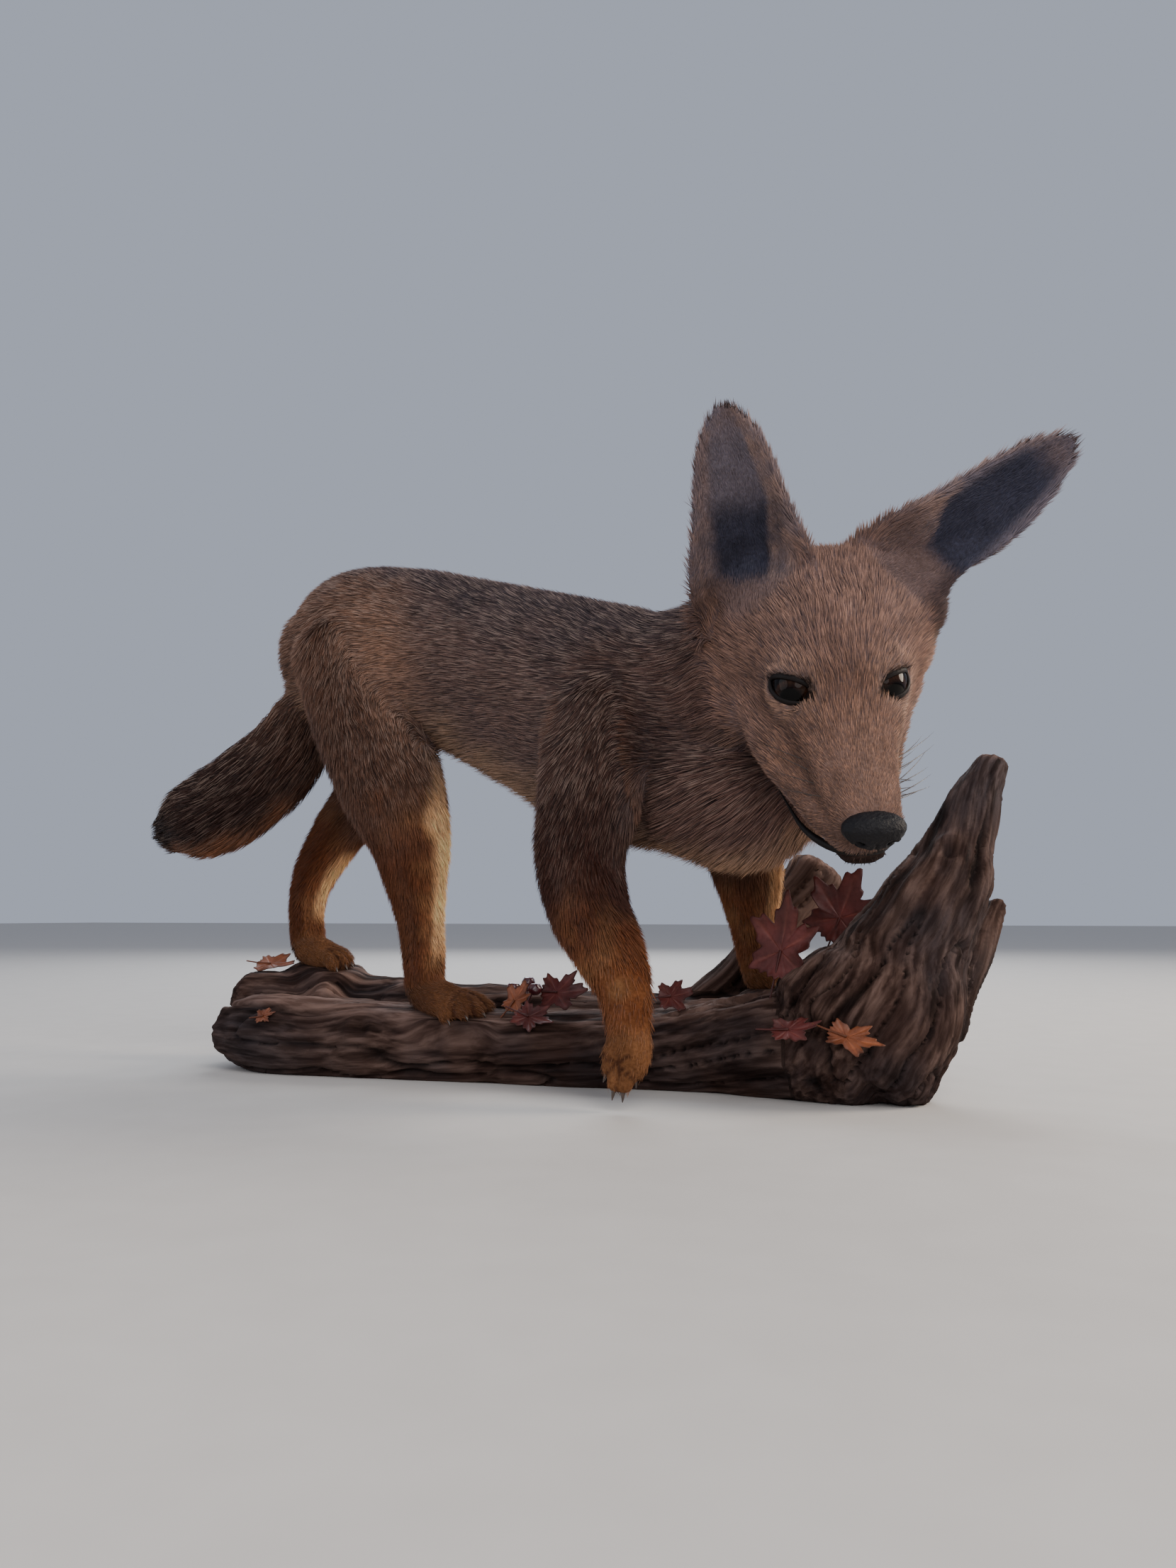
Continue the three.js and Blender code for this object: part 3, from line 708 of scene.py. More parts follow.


# ---- markings, with painted light and shade

SADDLE = [0.084, 0.062, 0.066]
# Painted shade where the neck and forelegs meet the body.
PAINTED_SHOULDER_SHADE = [0.048, 0.027, 0.026]
FLANK = [0.168, 0.108, 0.092]
RUMP = [0.400, 0.228, 0.150]
THIGH = [0.128, 0.063, 0.041]
BELLY = [0.30, 0.19, 0.125]
ORANGE = [0.215, 0.078, 0.032]
GOLD = [0.280, 0.128, 0.054]
# Painted shade on the near foreleg, the paws and between the toes.
PAINTED_LEG_SHADE = [0.047, 0.015, 0.010]
# Pale cream fur, brightened as painted rim light.
CREAM_AND_RIM_LIGHT = [0.98, 0.61, 0.31]
TAIL_TOP = [0.038, 0.018, 0.014]
TAIL_FRINGE = [0.230, 0.100, 0.052]
BLACK = [0.014, 0.009, 0.008]
RUFF_BROWN = [0.140, 0.081, 0.068]
CROWN = [0.245, 0.165, 0.150]
MUZZLE = [0.235, 0.146, 0.117]
CHEEK = [0.232, 0.152, 0.134]
LID_RING = [0.38, 0.262, 0.215]
THROAT = [0.26, 0.165, 0.135]
LIP = [0.020, 0.012, 0.011]
EAR_BACK = [0.205, 0.142, 0.132]
EAR_FUR = [0.350, 0.250, 0.222]
# Painted shade in the pockets below the roots of the ears.
PAINTED_EAR_POCKET_SHADE = [0.085, 0.060, 0.062]
# Painted shade deep in the hollow of the ear.
PAINTED_EAR_HOLLOW_SHADE = [0.064, 0.066, 0.100]
EAR_INSIDE = [0.205, 0.180, 0.215]
EAR_RIM = [0.285, 0.208, 0.200]
MOUTH_LINE = [
    [78, 0, -29.5], [76, 6.5, -30.5], [68, 13.5, -33], [58, 18.5, -34], [42, 22, -35], [24, 25, -37],
]


def muzzle_shift(x):
    """How far the middle of the lips lies to the left, as an offset in the head's axes."""
    rows = np.array(LIPS, float)
    across = np.interp(x, rows[:, 0], rows[:, 1])
    return np.stack([0 * across, across, 0 * across], axis=-1)


def mouth_gap(h):
    """Distance in millimetres from the line where the lips meet, in the head's axes."""
    line = smooth_rows(MOUTH_LINE, 30)
    q = np.abs(h * [0, 1, 0] - muzzle_shift(h[:, 0])) + h * [1, 0, 1]
    return np.min(length(q[:, None] - line[None]), axis=1)


def trunk_shade(p, up, soft, hip):
    """A grizzled back, a pale rump and hip with a darker thigh behind them, and painted shade on the shoulder
    where the neck and forelegs meet the body.
    """
    rump = 0.5 * blob(p * [1, 0, 1], [-143, 0, 246], [34, 1, 30]) * ramp(up, 0.85, 0.3)
    behind = ramp(p[:, 0] + 0.62 * (250 - p[:, 2]) + 4 * soft, -112, -122) * ramp(up, 0.9, 0.5)
    # Painted shade on the shoulder.
    shoulder = blob(p * [1, 0, 1], [42, 0, 172], [36, 1, 42])
    return layered(
        FLANK,
        (SADDLE, ramp(up, 0.0, 0.75)),
        (RUMP, rump),
        (RUMP, 0.8 * hip),
        (blend(THIGH, RUMP, 0.35), 0.8 * behind * (1 - np.maximum(rump, hip))),
        (BELLY, ramp(up, -0.3, -0.8)),
        (PAINTED_SHOULDER_SHADE, 0.85 * shoulder),
    )


def tail_shade(read, up):
    on_tail = read["form"] == TAIL_NUMBER
    return layered(
        TAIL_FRINGE,
        (TAIL_TOP, ramp(up, -0.9, -0.45)),
        (BLACK, 0.75 * ramp(read["share"], 0.78, 0.96) * on_tail),
        (blend(THIGH, TAIL_TOP, 0.25), ramp(read["share"], 0.55, 0.15)),
    )


def leg_shade(p, normal, read, soft, hip):
    """Tan legs: painted shade on the near foreleg's upper part and its forearm, darker hind legs behind, and
    cream front-facing edges that are partly pale fur and partly painted rim light.
    """
    share, ahead = read["share"], normal[:, 0]
    near_front, far_front, near_hind, far_hind = [
        read["form"] == LEG_NUMBER[name] for name in ("front_right", "front_left", "hind_right", "hind_left")
    ]
    hind = near_hind | far_hind
    golden = blend(ORANGE, GOLD, ramp(noise(p, 9, 4), -0.5, 0.6))
    uneven = share + 0.12 * soft + 0.05 * noise(p, 4, 12)
    # Painted shade on the upper part of the near foreleg.
    upper = ramp(uneven - 0.08 * ahead, 0.82, 0.48) * ramp(share, 0.12, 0.34)
    # Painted shade: a deeper orange on the front-facing side of the near forearm.
    painted_forearm_shade = ramp(ahead, 0.0, 0.7) * ramp(share, 0.6, 0.75)
    haunch = ramp(ahead + 0.3 * soft, 0.1, 0.7) * ramp(share, 0.45, 0.15)
    hock = ramp(share, 0.42, 0.62) * ramp(ahead, 0.6, 0.1)
    # Front-facing edges: pale fur, partly painted rim light.
    inner = ramp(ahead + 0.2 * soft, 0.66, 0.95)
    return layered(
        THIGH,
        (golden, ramp(uneven, 0.34, 0.72)),
        (PAINTED_LEG_SHADE, 0.92 * near_front * upper),
        (np.multiply(ORANGE, [0.8, 0.7, 0.6]), 0.7 * near_front * painted_forearm_shade),
        (RUMP, 0.5 * hind * haunch),
        (RUMP, 0.7 * hip),
        # Painted shade carried onto the top of the near foreleg.
        (PAINTED_SHOULDER_SHADE, 0.5 * near_front * ramp(share, 0.4, 0.2)),
        (np.multiply(ORANGE, [0.45, 0.36, 0.32]), 0.8 * hind * hock),
        (CREAM_AND_RIM_LIGHT, 0.95 * hind * inner * ramp(share, 0.3, 0.5) * ramp(share, 0.95, 0.8)),
        (CREAM_AND_RIM_LIGHT, 0.55 * far_front * inner * ramp(share, 0.05, 0.3)),
    )


def foot_shade(p, soft):
    """Golden feet, with painted shade on the near hind paw and in the clefts between the toes."""
    painted_cleft_shade = np.zeros(len(p))
    for spec in FEET.values():
        tips = np.array(spec["tips"], float)
        for a, b in zip(tips[:-1], tips[1:]):
            middle = (a + b) / 2
            ahead = unit(middle - np.array(spec["ankle"], float))
            off = p - middle - 2 * UP
            groove = ramp(np.abs(off @ unit(b - a)), 1.1, 0.3) * ramp(np.abs(off @ ahead + 3), 11, 7)
            painted_cleft_shade = np.maximum(painted_cleft_shade, groove * (length(off) < 16))
    # Painted shade: a little on every paw, varying, and more on the near hind paw.
    painted_paw_shade = 0.1 + 0.25 * soft + 0.3 * (np.abs(p[:, 0] + 75) < 60)
    return layered(blend(ORANGE, GOLD, 0.75), (PAINTED_LEG_SHADE, painted_paw_shade), (PAINTED_LEG_SHADE, 0.75 * painted_cleft_shade))


def ear_pocket_shade_at(h):
    """1 where shade is painted in the pockets below the roots of the ears, most below the left ear, in the
    head's axes.
    """
    left, right = blob(h, [-36, 53, 3], [14, 13, 20]), blob(h, [-34, -50, 4], [12, 11, 16])
    return ramp(np.maximum(left, 0.4 * right), 0.2, 0.6)


def head_shade(p, normal, ear_pocket_shade):
    """The face: painted light along the top of the muzzle and painted shade on its side-facing flanks, rings
    round the eyes, dark lips and chin, and painted shade in the pockets below the ears.
    """
    h, n = to_head(p), normal @ HEAD_TURN
    x, y, z = h.T
    head = layered(
        CROWN,
        (MUZZLE, ramp(x, 0, 34) * ramp(n[:, 2], -0.5, 0.3)),
        (CHEEK, ramp(np.abs(y) + 0.35 * -z, 21, 38) * ramp(x, 30, -5)),
        (THROAT, ramp(n[:, 2], -0.45, -0.9)),
    )
    # Painted shade on the muzzle's side-facing flanks and painted light along its upward-facing top, as a
    # multiplier on the face's colour.
    painted_flank_shade = ramp(n[:, 2], 0.60, 0.15) * ramp(x, -22, 6)
    painted_ridge_light = ramp(n[:, 2], 0.70, 0.95) * ramp(np.abs(y), 15, 5) * ramp(x, -30, 0)
    head = head * (1 - 0.27 * painted_flank_shade + 0.10 * painted_ridge_light)[:, None]
    for side, eye in EYES.items():
        gap = length(h - eye - GAZES[side] * 7)
        head = layered(head, (LID_RING, 0.42 * ramp(gap, 19, 12)), (BLACK, ramp(almond(p, side), -1.1, -0.2)))
    return layered(
        head,
        (LIP, ramp(mouth_gap(h), 3.2, 1.6) * ramp(x, 48, 64)),
        (LIP, 0.9 * ramp(x, 46, 64) * ramp(z, -31, -34)),
        (PAINTED_EAR_POCKET_SHADE, ear_pocket_shade),
    )


def ear_shade(p, normal, soft, ear_pocket_shade):
    """Painted shade in the hollow inside each ear, with a furred band along its inner side and a paler outer
    rim, and painted shade in the pocket below it.
    """
    ear = np.broadcast_to(np.asarray(EAR_BACK), p.shape)
    mottle = 0.75 + 0.5 * noise(p, 4, 33)
    for shell in EAR_SHELLS:
        t, a, _ = shell.local(p)
        mine = (np.abs(a) < 34) & (t > -0.2) & (t < 1.1)
        spread = a / np.maximum(shell.half(t) * 0.95, 3) * shell.lateral
        band, widening, start, end = shell.furred
        edge = band + widening * ramp(t, 0.28, 0.5)
        furred = ramp(-spread + 0.10 * soft, edge - 0.07, edge + 0.07) * mottle
        rim = ramp(spread, end - 0.05, end + 0.25) * mottle
        # Painted shade deep in the lower middle of the ear's hollow.
        deep = ramp(t, end, end - 0.2) * ramp(np.abs(spread), 0.95, 0.6)
        hollow = ramp(normal @ shell.open, 0.05, 0.4) * ramp(t + 0.03 * soft, start - 0.04, start + 0.05)
        inside = layered(
            EAR_INSIDE,
            (PAINTED_EAR_HOLLOW_SHADE, deep),
            (EAR_FUR, furred),
            (EAR_RIM, np.maximum(rim, 0.7 * ramp(t, 0.78, 0.95) * mottle)),
        )
        back = blend(EAR_BACK, BLACK, 0.5 * ramp(t, 0.7, 1))
        ear = np.where(mine[:, None], blend(back, inside, hollow), ear)
    # Painted shade in the pocket below the ear.
    return blend(ear, PAINTED_EAR_POCKET_SHADE, 0.8 * ear_pocket_shade)


def markings(p, normal, read):
    """The coat's colour at each place."""
    soft = noise(p, 14, 3)
    up = normal[:, 2] + 0.18 * soft
    slanted = np.stack([p[:, 0] + 0.3 * (p[:, 2] - 240), 0 * p[:, 1], p[:, 2]], axis=1)
    hip = blob(slanted, [-111, 0, 236], [21, 1, 42]) * ramp(up, 0.9, 0.4)
    h = to_head(p)
    ear_pocket_shade = ear_pocket_shade_at(h)
    # Painted light on the ruff below the jaw, where the head's shadow falls.
    painted_light_under_jaw = blob(h, [22, -14, -60], [36, 34, 28])
    shades = dict(
        trunk=trunk_shade(p, up, soft, hip),
        neck=blend(RUFF_BROWN, SADDLE, ramp(up, 0.2, 0.8)),
        ruff=blend(RUFF_BROWN, BELLY, ramp(up, -0.4, -0.95)) * (1 + 0.55 * painted_light_under_jaw)[:, None],
        tail=tail_shade(read, up),
        leg=leg_shade(p, normal, read, soft, hip),
        foot=foot_shade(p, soft),
        head=head_shade(p, normal, ear_pocket_shade),
        ear=ear_shade(p, normal, soft, ear_pocket_shade),
    )
    total = sum(shade * read["weight"][name][:, None] for name, shade in shades.items())
    patches = 0.16 * noise(p, 7, 9) + 0.10 * noise(p, 2.5, 10)
    return total * (1 + patches + 0.12 * read["weight"]["head"] * noise(p, 5, 11))[:, None]


# ---- materials


class Shader:
    """A procedural material, built by adding nodes to its principled shader."""

    def __init__(self, name, **values):
        self.material = bpy.data.materials.new(name)
        self.material.use_nodes = True
        self.nodes = self.material.node_tree.nodes
        self.links = self.material.node_tree.links
        self.main = self.nodes["Principled BSDF"]
        for key, value in values.items():
            self.main.inputs[key.replace("_", " ")].default_value = value

    def fill(self, node, inputs):
        """Sets a node's inputs, or links them to other nodes' outputs."""
        for key, value in inputs.items():
            if isinstance(value, bpy.types.NodeSocket):
                self.links.new(value, node.inputs[key])
            else:
                node.inputs[key].default_value = value
        return node

    def stored(self, name, output):
        """Values kept on the mesh's vertices."""
        node = self.nodes.new("ShaderNodeAttribute")
        node.attribute_name = name
        return node.outputs[output]

    def tint(self):
        return self.stored("Tint", "Color")

    def noise(self, scale, detail=4.0, where=None, kind="ShaderNodeTexNoise"):
        where = where or self.nodes.new("ShaderNodeTexCoord").outputs["Object"]
        node = self.fill(self.nodes.new(kind), {"Vector": where, "Scale": scale})
        if "Detail" in node.inputs:
            node.inputs["Detail"].default_value = detail
        return node.outputs[0]

    def curve(self, value, low, high, to_low=0.0, to_high=1.0):
        inputs = {"Value": value, "From Min": low, "From Max": high, "To Min": to_low, "To Max": to_high}
        return self.fill(self.nodes.new("ShaderNodeMapRange"), inputs).outputs["Result"]

    def mix(self, share, a, b, how="MIX"):
        node = self.nodes.new("ShaderNodeMix")
        node.data_type = "RGBA"
        node.blend_type = how
        tones = [(*tone, 1.0) if isinstance(tone, tuple) else tone for tone in (a, b)]
        return self.fill(node, {0: share, 6: tones[0], 7: tones[1]}).outputs[2]

    def darkened(self, base, value, window, tone):
        """The base multiplied by a tone, as far as a value has risen through a window."""
        return self.mix(self.curve(value, *window), base, tone, "MULTIPLY")

    def colour(self, value):
        self.links.new(value, self.main.inputs["Base Color"])

    def roughness(self, value, window):
        self.links.new(self.curve(value, *window), self.main.inputs["Roughness"])

    def bump(self, height, strength, distance):
        inputs = {"Height": height, "Strength": strength, "Distance": distance}
        node = self.fill(self.nodes.new("ShaderNodeBump"), inputs)
        self.links.new(node.outputs["Normal"], self.main.inputs["Normal"])


def hair_material():
    shader = Shader("coat_hair", Specular_IOR_Level=0.14, Sheen_Weight=0.05, Sheen_Roughness=0.5)
    strand = shader.noise(900.0, 2.0)
    shader.colour(shader.darkened(shader.tint(), strand, (0.3, 0.7, 0.0, 0.35), (0.5, 0.44, 0.38)))
    shader.roughness(strand, (0.2, 0.8, 0.5, 0.72))
    return shader.material


def skin_material():
    shader = Shader("skin_fur", Roughness=0.9, Specular_IOR_Level=0.08)
    strand = shader.noise(700.0, 5.0)
    shader.colour(shader.darkened(shader.tint(), strand, (0.3, 0.7, 0.1, 0.8), (0.45, 0.38, 0.33)))
    shader.bump(strand, 0.8, 0.0008)
    return shader.material


def eye_material():
    coat = dict(Coat_Weight=0.6, Coat_Roughness=0.03, Coat_IOR=1.3)
    shader = Shader("glass_eye", Roughness=0.4, Specular_IOR_Level=0.0, **coat)
    fibres = shader.noise(1500.0, 3.0)
    shader.colour(shader.darkened(shader.tint(), fibres, (0.35, 0.65, 0.0, 0.6), (0.35, 0.26, 0.2)))
    return shader.material


def mottled_material(name, scale, tones, rough, bump, detail=4.0, pebbles=None, **values):
    """Two tones mixed by a noise, which also sets the roughness, and the bumps where there are no pebbles."""
    shader = Shader(name, **values)
    mottle = shader.noise(scale, detail)
    shader.colour(shader.mix(mottle, *tones))
    shader.roughness(mottle, (0.3, 0.7, *rough))
    shader.bump(shader.noise(pebbles, kind="ShaderNodeTexVoronoi") if pebbles else mottle, *bump)
    return shader.material


def nose_material():
    return mottled_material(
        "nose_leather", 160.0, [(0.003, 0.0025, 0.003), (0.009, 0.008, 0.010)], (0.42, 0.6), (0.6, 0.0005),
        pebbles=620.0, Specular_IOR_Level=0.2,
    )


def lip_material():
    return mottled_material(
        "lip_skin", 420.0, [(0.004, 0.003, 0.003), (0.014, 0.010, 0.009)], (0.4, 0.65), (0.4, 0.0005),
        Specular_IOR_Level=0.15,
    )


def claw_material():
    return mottled_material(
        "claw_horn", 500.0, [(0.018, 0.011, 0.009), (0.075, 0.045, 0.030)], (0.25, 0.45), (0.2, 0.0003),
        detail=3.0, Specular_IOR_Level=0.5, Coat_Weight=0.3, Coat_Roughness=0.2,
    )


def berry_material():
    return mottled_material(
        "dry_berry", 300.0, [(0.035, 0.008, 0.012), (0.14, 0.025, 0.03)], (0.18, 0.4), (0.5, 0.0008),
        Specular_IOR_Level=0.6, Coat_Weight=0.5, Coat_Roughness=0.12,
    )


def wood_material():
    shader = Shader("driftwood", Specular_IOR_Level=0.08)
    grain = shader.stored("Grain", "Vector")
    fine = shader.noise(420.0, 6.0, grain)
    seam = shader.noise(130.0, 3.0, grain)
    blotch = shader.curve(shader.noise(26.0, 5.0), 0.45, 0.65, 0.0, 0.4)
    aged = shader.mix(blotch, shader.tint(), (0.040, 0.034, 0.036))
    lined = shader.darkened(aged, fine, (0.38, 0.62, 0.0, 0.8), (0.36, 0.31, 0.29))
    shader.colour(shader.darkened(lined, seam, (0.56, 0.64, 0.0, 0.8), (0.25, 0.2, 0.18)))
    shader.roughness(fine, (0.3, 0.7, 0.72, 0.92))
    shader.bump(fine, 0.8, 0.0012)
    return shader.material


def leaf_material():
    shader = Shader("dry_leaf", Specular_IOR_Level=0.35, Coat_Weight=0.08, Coat_Roughness=0.35)
    fleck = shader.noise(420.0, 5.0)
    wide = shader.noise(70.0, 3.0)
    base = shader.darkened(shader.tint(), wide, (0.4, 0.65, 0.0, 0.55), (0.42, 0.30, 0.2))
    shader.colour(shader.darkened(base, fleck, (0.5, 0.7, 0.0, 0.5), (0.5, 0.36, 0.28)))
    shader.roughness(fleck, (0.3, 0.7, 0.4, 0.6))
    shader.bump(fleck, 0.35, 0.0006)
    return shader.material


# ---- skin and coat

TUFT_SUNK = 0.35
TUFT_PATCH = 0.0015

# Each piece of coat is named after a family of groups.
FAMILIES = dict(
    trunk=["trunk"], neck=["neck", "ruff"], tail=["tail"], legs=["leg", "foot"], head=["head"], ears=["ear"],
)


def scatter(verts, normals, quads, density):
    """Random places on the skin, as many on each triangle as its density asks."""
    tris = np.concatenate([quads[:, [0, 1, 2]], quads[:, [0, 2, 3]]])
    corner = verts[tris]
    area = length(np.cross(corner[:, 1] - corner[:, 0], corner[:, 2] - corner[:, 0])) / 2
    wanted = area * density[tris].mean(axis=1)
    count = int(wanted.sum())
    chosen = np.searchsorted(np.cumsum(wanted) / wanted.sum(), np.sort(RANDOM.random(count)))
    chosen = np.clip(chosen, 0, len(tris) - 1)
    u, v = RANDOM.random(count), RANDOM.random(count)
    flip = u + v > 1
    u, v = np.where(flip, 1 - u, u), np.where(flip, 1 - v, v)
    share = np.stack([1 - u - v, u, v], axis=1)[..., None]
    return (verts[tris[chosen]] * share).sum(axis=1), unit((normals[tris[chosen]] * share).sum(axis=1))


def by_group(read, key):
    return sum(read["weight"][name] * COAT[name][key] for name in GROUPS)


def coat_map(read, width):
    """Each root's place on an unwrap of the skin's own forms: across by form and angle, up along the form."""
    turn = read["angle"] / (2 * np.pi) + 0.5
    used = np.unique(read["form"])
    column = np.searchsorted(used, read["form"])
    u = (column + 0.03 + 0.94 * turn) / max(len(used), 1)
    v = np.clip(read["share"], 0, 1) * 0.98 + 0.01
    return np.clip(np.stack([u, v], axis=1), width, 1 - width)


def tufts(name, coat, bent, material):
    """Closed tufts, three-sided and pointed. Bent ones have a waist halfway that curves them to the body."""
    root, normal, long, place_uv = coat["root"], coat["normal"], coat["long"], coat["uv"]
    side = unit(np.cross(normal, coat["lie"]))
    rise = np.sin(coat["lift"])[:, None]
    out = unit(coat["lie"] * np.cos(coat["lift"])[:, None] + normal * rise)
    base = root - normal * TUFT_SUNK
    half = (coat["wide"] / 2)[:, None]
    tip = root + out * long[:, None] - normal * rise * (long * 0.30)[:, None] * bent
    levels = [(base, half, coat["dark"])]
    if bent:
        waist = root + out * (long * 0.5)[:, None] + normal * (long * 0.05)[:, None]
        levels.append((waist, half * 0.85, blend(coat["dark"], coat["pale"], np.full(len(root), 0.55))))
    points, tints, uvs = [], [], []
    for step, (centre, size, tint) in enumerate(levels):
        points += [centre - side * size, centre + side * size, centre + normal * size * 0.9]
        tints += [tint * 0.9, tint * 0.9, tint]
        height = TUFT_PATCH * (step - 1)
        uvs += [place_uv + [across * TUFT_PATCH, height] for across in (-1, 1, 0)]
    points.append(tip)
    tints.append(coat["pale"])
    uvs.append(place_uv + [0, TUFT_PATCH])
    pattern = [[0, 1, 2]]
    for a, b in ((1, 0), (2, 1), (0, 2)):
        pattern += [[a, b, b + 3], [a, b + 3, a + 3], [a + 3, b + 3, 6]] if bent else [[a, b, 3]]
    faces = (np.arange(len(root)) * len(points))[:, None, None] + np.array(pattern)[None]
    faces = faces.reshape(-1, 3)
    verts, colours = [np.stack(rows, axis=1).reshape(-1, 3) for rows in (points, tints)]
    uv = np.stack(uvs, axis=1).reshape(-1, 2)
    made = mesh_object(name, verts, faces, material, colours, smooth=False)
    layer = made.data.uv_layers.new(name="OFBake")
    layer.data.foreach_set("uv", uv[faces.ravel()].astype(np.float32).ravel())
    finish_piece(made, "coat")


def tuft_tones(p, normal, shade, read):
    """Root and tip colours: darker, bluer roots, partly the undercoat and partly painted shade deep in the
    coat, and tips banded pale or black on the back and plain elsewhere.
    """
    count = len(p)
    weight = read["weight"]
    grizzle = np.clip(weight["trunk"] + weight["neck"] + weight["ruff"] + 0.8 * weight["tail"], 0, 1)
    grizzle = np.clip(grizzle + weight["leg"] * ramp(read["share"], 0.55, 0.3), 0, 1)
    dice = RANDOM.random(count)
    streak = noise(p, 3.6, 21)
    pale = (dice < 0.27 + 0.28 * streak) * grizzle * (0.35 + 0.65 * ramp(normal[:, 2], -0.3, 0.5))
    black = (dice > 0.76) * grizzle
    tip = shade * (1.15 + 0.24 * RANDOM.standard_normal(count).clip(-1.5, 1.5))[:, None]
    tip = blend(tip * [1.08, 1.0, 0.92], shade * 0.8 + np.array([0.34, 0.25, 0.20]), 0.85 * pale)
    tip = blend(tip, np.asarray(BLACK), 0.75 * black)
    clumps = noise(p, 2.4, 22)
    tip = tip * (1 + weight["head"] * (0.40 * (dice > 0.62) - 0.34 * (dice < 0.25) + 0.25 * clumps))[:, None]
    tip = blend(tip, tip * [1.10, 1.0, 0.84], weight["head"])
    # Painted shade at the roots: darker and bluer than the tips, on top of the undercoat's own tone.
    root = shade * [0.88, 0.98, 1.2] * (0.45 + 0.14 * RANDOM.random(count))[:, None]
    return root, tip


def coat_density(verts, read):
    """Tufts on a square millimetre: none on the eyes, the nose pad and the lips, and few on the chin."""
    h = to_head(verts)
    density = by_group(read, "dense")
    for side in EYES:
        density = density * ramp(almond(verts, side), -0.2, -1.2)
    density = density * ramp(length((h - NOSE_AT) / NOSE_SIZES), 0.95, 1.08)
    density = density * ramp(mouth_gap(h), 0.8, 2.0)
    return density * (1 - 0.85 * ramp(h[:, 0], 54, 66) * ramp(h[:, 2], -26, -30))


def tuft_sizes(root, normal, read):
    """Each tuft's length and width, and how far it stands up in radians."""
    h = to_head(root)
    weight, share = read["weight"], read["share"]
    muzzle = weight["head"] * ramp(h[:, 0], 8, 55)
    under = weight["trunk"] * ramp(normal[:, 2], -0.35, -0.8)
    long = by_group(read, "long") * (1 - 0.55 * muzzle)
    for side, eye in EYES.items():
        long *= 1 - 0.45 * weight["head"] * blob(h, eye + GAZES[side] * 6, [13, 13, 13])
    long *= 1 + 0.2 * weight["head"] * ramp(h[:, 0], -20, -50)
    long *= 1 + weight["leg"] * (0.25 * ramp(share, 0.5, 0.15) - 0.35 * ramp(share, 0.6, 1.0))
    long *= 1 + 0.6 * under
    long *= 1 - 0.25 * weight["tail"] * ramp(share, 0.6, 1.0)
    for shell in EAR_SHELLS:
        t, a, _ = shell.local(root)
        rim = (np.abs(a) > shell.half(t) * 0.8) * (t > 0.1) * (t < 1.1) * weight["ear"]
        inside = ramp(normal @ shell.open, 0.1, 0.4) * weight["ear"] * (t > 0) * (t < 1.1)
        long *= 1 + 0.2 * rim - 0.45 * inside * (1 - rim)
    long *= 0.8 + 0.4 * RANDOM.random(len(root))
    wide = by_group(read, "wide") * (1 - 0.35 * muzzle) * (0.75 + 0.5 * RANDOM.random(len(root)))
    lift = by_group(read, "lift") * (1 + 0.6 * under) * (0.55 + 0.9 * RANDOM.random(len(root)))
    return long, wide, np.radians(lift)


def build_animal():
    verts, quads = build_skin()
    normals = normals_of(verts, quads)
    read = GUIDES.read(verts)
    skin = mesh_object("skin", verts, quads, skin_material(), markings(verts, normals, read) * 0.75)
    limbs = [f"foot_{name}" for name in FEET] + [f"leg_{name}" for name in LEGS]
    finish_piece(skin, "coat", "head", "lower_jaw", "trunk", "neck", "tail", "ear_left", "ear_right", *limbs)
    root, normal = scatter(verts, normals, quads, coat_density(verts, read))
    read = GUIDES.read(root)
    coat = dict(root=root, normal=normal, lie=lie_of_coat(root, normal, read))
    coat["long"], coat["wide"], coat["lift"] = tuft_sizes(root, normal, read)
    coat["dark"], coat["pale"] = tuft_tones(root, normal, markings(root, normal, read), read)
    strongest = np.argmax(np.stack([read["weight"][g] for g in GROUPS]), axis=0)
    hair = hair_material()
    for family, groups in FAMILIES.items():
        members = np.flatnonzero(np.isin(strongest, [GROUPS.index(g) for g in groups]))
        bent = family == "tail"
        triangles = 10 if bent else 4
        pieces = int(np.ceil(len(members) * triangles / TRIANGLES_IN_A_PIECE))
        order = members[np.argsort(root[members] @ np.array([1.0, 0.2, 0.1]))]
        for number, part in enumerate(np.array_split(order, pieces), 1):
            piece = {key: values[part] for key, values in coat.items()}
            piece["uv"] = coat_map({key: read[key][part] for key in ("form", "share", "angle")}, 0.002)
            tufts(f"coat_{family}_{number}", piece, bent, hair)


# ---- eyes, nose, lips, whiskers and claws


def build_eye(name, side, material):
    """A glass eye with a pupil, a brown iris and a dark rim, and a low dome over the iris."""
    gaze = unit(HEAD_TURN @ unit(GAZES[side] + np.array([0.25, 0, -0.25])))
    across = unit(np.cross(UP, gaze))
    axes = np.array([gaze, across, np.cross(gaze, across)])
    verts, faces = ball([0, 0, 0], [EYE_RADIUS] * 3, axes, rings=56, sides=72)
    off = np.degrees(np.arccos(np.clip(unit(verts) @ gaze, -1, 1)))
    verts *= (1 + 0.035 * ramp(off, 42, 20))[:, None]
    around = np.arctan2(verts @ axes[2], verts @ axes[1])
    spokes = 0.82 + 0.18 * np.sin(around * 23 + np.sin(around * 7) * 2)
    iris = blend([0.010, 0.005, 0.004], [0.034, 0.015, 0.008], ramp(off, 22, 35)) * spokes[:, None]
    shade = layered(
        iris,
        ([0.001, 0.001, 0.001], ramp(off, 24, 21)),
        ([0.003, 0.002, 0.002], ramp(off, 38, 43)),
    )
    verts = verts + from_head(EYES[side])
    finish_piece(mesh_object(name, verts, faces, material, shade), "eye", name)


